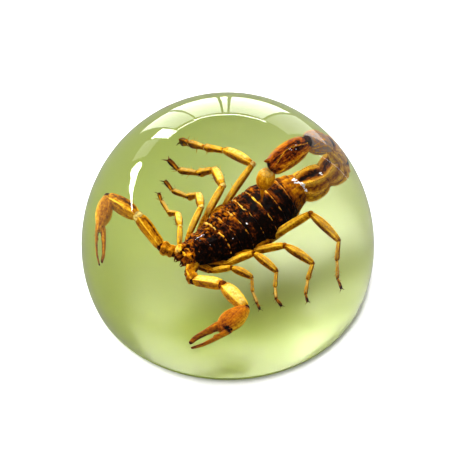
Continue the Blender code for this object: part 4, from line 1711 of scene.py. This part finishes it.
class BuildCombs(bpy.types.Operator):
    """Make the pair of combs under the belly"""

    bl_idname = "scorpion_dome.build_combs"
    bl_label = "Combs"

    def execute(self, context):
        finish = bpy.data.materials["golden_cuticle"]
        count = context.scene.scorpion_sizes.comb_teeth
        skin = Skin()
        teeth = []
        for side in (1, -1):
            start, end = Vector((-6.4, side * 0.6, 10.0)), Vector((-9.2, side * 4.3, 9.5))
            comb = ((0, 1.1), (0.5, 0.9), (1, 0.5))
            limb(skin, start, end, 1.0, 0.7, comb, paint=limb_marks(0.35, 0.1, seam=0.1))
            back = Vector((-0.8, -0.55 * side, 0)).normalized()
            line = np.linspace(0.08, 0.98, count)
            teeth.append(np.outer(1 - line, start) + np.outer(line, end) + np.outer(0.75 - 0.2 * line, back))
        settle(skin.piece("combs", finish), "cuticle", "scorpion")
        tree, keys = stud_tree()
        facing = np.concatenate([np.tile((-0.8, -0.55 * side, 0), (count, 1)) for side in (1, -1)])
        host = stud_points(np.concatenate(teeth), facing, 0.13, {"brown": 0.25})
        made = grow("comb_teeth", host, tree, keys, {"Stretch": 3.6, "Finish": finish})
        settle(made, "cuticle", "scorpion")
        return {"FINISHED"}


class GrowBristles(bpy.types.Operator):
    """Grow bristles on the legs, pincers and tail"""

    bl_idname = "scorpion_dome.grow_bristles"
    bl_label = "Bristles"

    def execute(self, context):
        sizes = context.scene.scorpion_sizes
        tree, keys = bristle_tree()
        hosts = [f"leg_{name}" for name in LEG_POSES] + [f"pincer_{side}" for side in ARM_POSES] + ["tail"]
        for number, name in enumerate(hosts):
            values = {
                "Density": sizes.bristles / MM**2,
                "Length": sizes.bristle,
                "Width": sizes.bristle_width / 2,
                "Seed": 11 + number,
                "Finish": bpy.data.materials["golden_cuticle"],
            }
            made = grow(f"bristles_{name}", bpy.data.objects[name].data.copy(), tree, keys, values)
            settle(made, "cuticle", "scorpion")
        return {"FINISHED"}


class TrapAirAndGlints(bpy.types.Operator):
    """Lay silvery films of trapped air on the trunk and the tail, and white beads as painted glints on the back"""

    bl_idname = "scorpion_dome.trap_air"
    bl_label = "Air Films And Glints"

    def execute(self, context):
        shown = context.evaluated_depsgraph_get()
        names = ("head_shield", "back_plates", "tail")
        hosts = [BVHTree.FromObject(bpy.data.objects[name], shown) for name in names]
        chance = np.random.default_rng(5)
        points, facing, radii = [], [], []
        for place, along, across, beads, radius in AIR_FILMS_AND_GLINTS:
            for spread in chance.uniform(-1, 1, (beads, 2)):
                start = np.array(place) + (spread[0] * along, spread[1] * across, 0)
                origin = Vector(in_place(start[None])[0])
                hits = [host.ray_cast(origin, Vector((0, 0, -1))) for host in hosts]
                reached = [(hit[3], hit[1]) for hit in hits if hit[0] is not None]
                if not reached:
                    continue
                depth, normal = min(reached, key=lambda hit: hit[0])
                points.append(start - (0, 0, depth / MM))
                facing.append(np.array(normal))
                radii.append(radius * chance.uniform(0.6, 1.2))
        tree, keys = stud_tree()
        host = stud_points(points, np.array(facing) @ HEAD_TURN, np.array(radii), {})
        film = air_film_and_glint_finish(context.scene.specimen_colours)
        settle(grow("air_films", host, tree, keys, {"Stretch": 0.3, "Finish": film}), "cuticle", "scorpion")
        return {"FINISHED"}


class SetStage(bpy.types.Operator):
    """Lay the floor, set the lights and aim the camera"""

    bl_idname = "scorpion_dome.set_stage"
    bl_label = "Stage"

    def execute(self, context):
        mesh = bpy.data.meshes.new("floor")
        mesh.from_pydata([(-3, -3, 0), (3, -3, 0), (3, 3, 0), (-3, 3, 0)], [], [(0, 1, 2, 3)])
        mesh.materials.append(pale_floor(context.scene.specimen_colours))
        floor = bpy.data.objects.new("floor", mesh)
        context.scene.collection.objects.link(floor)
        floor.visible_glossy = False
        self.light_room(context)
        for name, *extent in WINDOWS:
            pane = studio_light(name, *extent)
            pane.visible_transmission = name not in ONLY_MIRRORED
            if name.startswith("spike"):
                pane.data.shape = "ELLIPSE"
        for name, *extent in SOFTBOXES:
            studio_light(name, *extent).visible_glossy = False
        self.aim_camera(context)
        context.scene.view_settings.view_transform = "Standard"
        context.scene.view_settings.exposure = EXPOSURE
        context.scene.view_settings.gamma = GAMMA
        return {"FINISHED"}

    def light_room(self, context):
        """A dim room, so that the dome's crown and flanks stay clear; palest low down and at its far end."""
        world = bpy.data.worlds.new("studio")
        context.scene.world = world
        world.use_nodes = True
        tree = world.node_tree
        way = add_node(tree, "ShaderNodeTexCoord").outputs["Generated"]
        parts = add_node(tree, "ShaderNodeSeparateXYZ", {"Vector": way}).outputs
        low_down = {"Value": parts["Z"], "From Min": 0.0, "From Max": 0.5, "To Min": 0.4, "To Max": 0.07}
        far_end = {"Value": parts["Y"], "From Min": -0.7, "From Max": 0.5, "To Min": 0.4, "To Max": 1.0}
        fall, side = (
            add_node(tree, "ShaderNodeMapRange", ranges, interpolation_type="SMOOTHSTEP").outputs[0]
            for ranges in (low_down, far_end)
        )
        strength = add_node(tree, "ShaderNodeMath", {0: fall, 1: side}, operation="MULTIPLY").outputs[0]
        tree.links.new(strength, tree.nodes["Background"].inputs["Strength"])
        tree.nodes["Background"].inputs["Color"].default_value = (1, 1, 1, 1)

    def aim_camera(self, context):
        data = bpy.data.cameras.new("camera")
        camera = bpy.data.objects.new("camera", data)
        context.scene.collection.objects.link(camera)
        rise = math.radians(CAMERA_RISE)
        girth = Vector((0, 0, GIRTH_HEIGHT)) * MM
        back = Vector((0, -math.cos(rise), math.sin(rise)))
        camera.location = girth + back * CAMERA_DISTANCE * MM
        focal = GIRTH_PIXELS * CAMERA_DISTANCE / GIRTH_RADIUS
        data.sensor_width = 36.0
        data.lens = focal / PICTURE * data.sensor_width
        data.clip_start = 0.01
        right = Vector((1, 0, 0))
        up = back.cross(right)
        shift = right * (PICTURE / 2 - GIRTH_PIXEL[0]) + up * (GIRTH_PIXEL[1] - PICTURE / 2)
        aim = girth + shift * (CAMERA_DISTANCE * MM / focal)
        camera.rotation_euler = (camera.location - aim).to_track_quat("Z", "Y").to_euler()
        context.scene.camera = camera


class ScorpionDomePanel(bpy.types.Panel):
    bl_label = "Scorpion Dome"
    bl_idname = "VIEW3D_PT_scorpion_dome"
    bl_space_type = "VIEW_3D"
    bl_region_type = "UI"
    bl_category = "Scorpion Dome"

    def draw(self, context):
        for kind in OPERATORS:
            self.layout.operator(kind.bl_idname)
        for group in (context.scene.dome_sizes, context.scene.scorpion_sizes, context.scene.specimen_colours):
            for name in group.__annotations__:
                self.layout.prop(group, name)


OPERATORS = (
    CastDome,
    PourGlowLayer,
    BuildTrunk,
    BuildLegs,
    BuildPincers,
    BuildTail,
    BuildCombs,
    GrowBristles,
    TrapAirAndGlints,
    SetStage,
)
CLASSES = (DomeSizes, ScorpionSizes, SpecimenColours, *OPERATORS, ScorpionDomePanel)


def register():
    for kind in CLASSES:
        bpy.utils.register_class(kind)
    bpy.types.Scene.dome_sizes = PointerProperty(type=DomeSizes)
    bpy.types.Scene.scorpion_sizes = PointerProperty(type=ScorpionSizes)
    bpy.types.Scene.specimen_colours = PointerProperty(type=SpecimenColours)


def unregister():
    for name in ("dome_sizes", "scorpion_sizes", "specimen_colours"):
        delattr(bpy.types.Scene, name)
    for kind in reversed(CLASSES):
        bpy.utils.unregister_class(kind)


def main():
    register()
    bpy.ops.scorpion_dome.cast_dome()
    bpy.ops.scorpion_dome.pour_glow_layer()
    bpy.ops.scorpion_dome.build_trunk()
    bpy.ops.scorpion_dome.build_legs()
    bpy.ops.scorpion_dome.build_pincers()
    bpy.ops.scorpion_dome.build_tail()
    bpy.ops.scorpion_dome.build_combs()
    bpy.ops.scorpion_dome.grow_bristles()
    bpy.ops.scorpion_dome.trap_air()
    bpy.ops.scorpion_dome.set_stage()


if __name__ == "__main__":
    main()
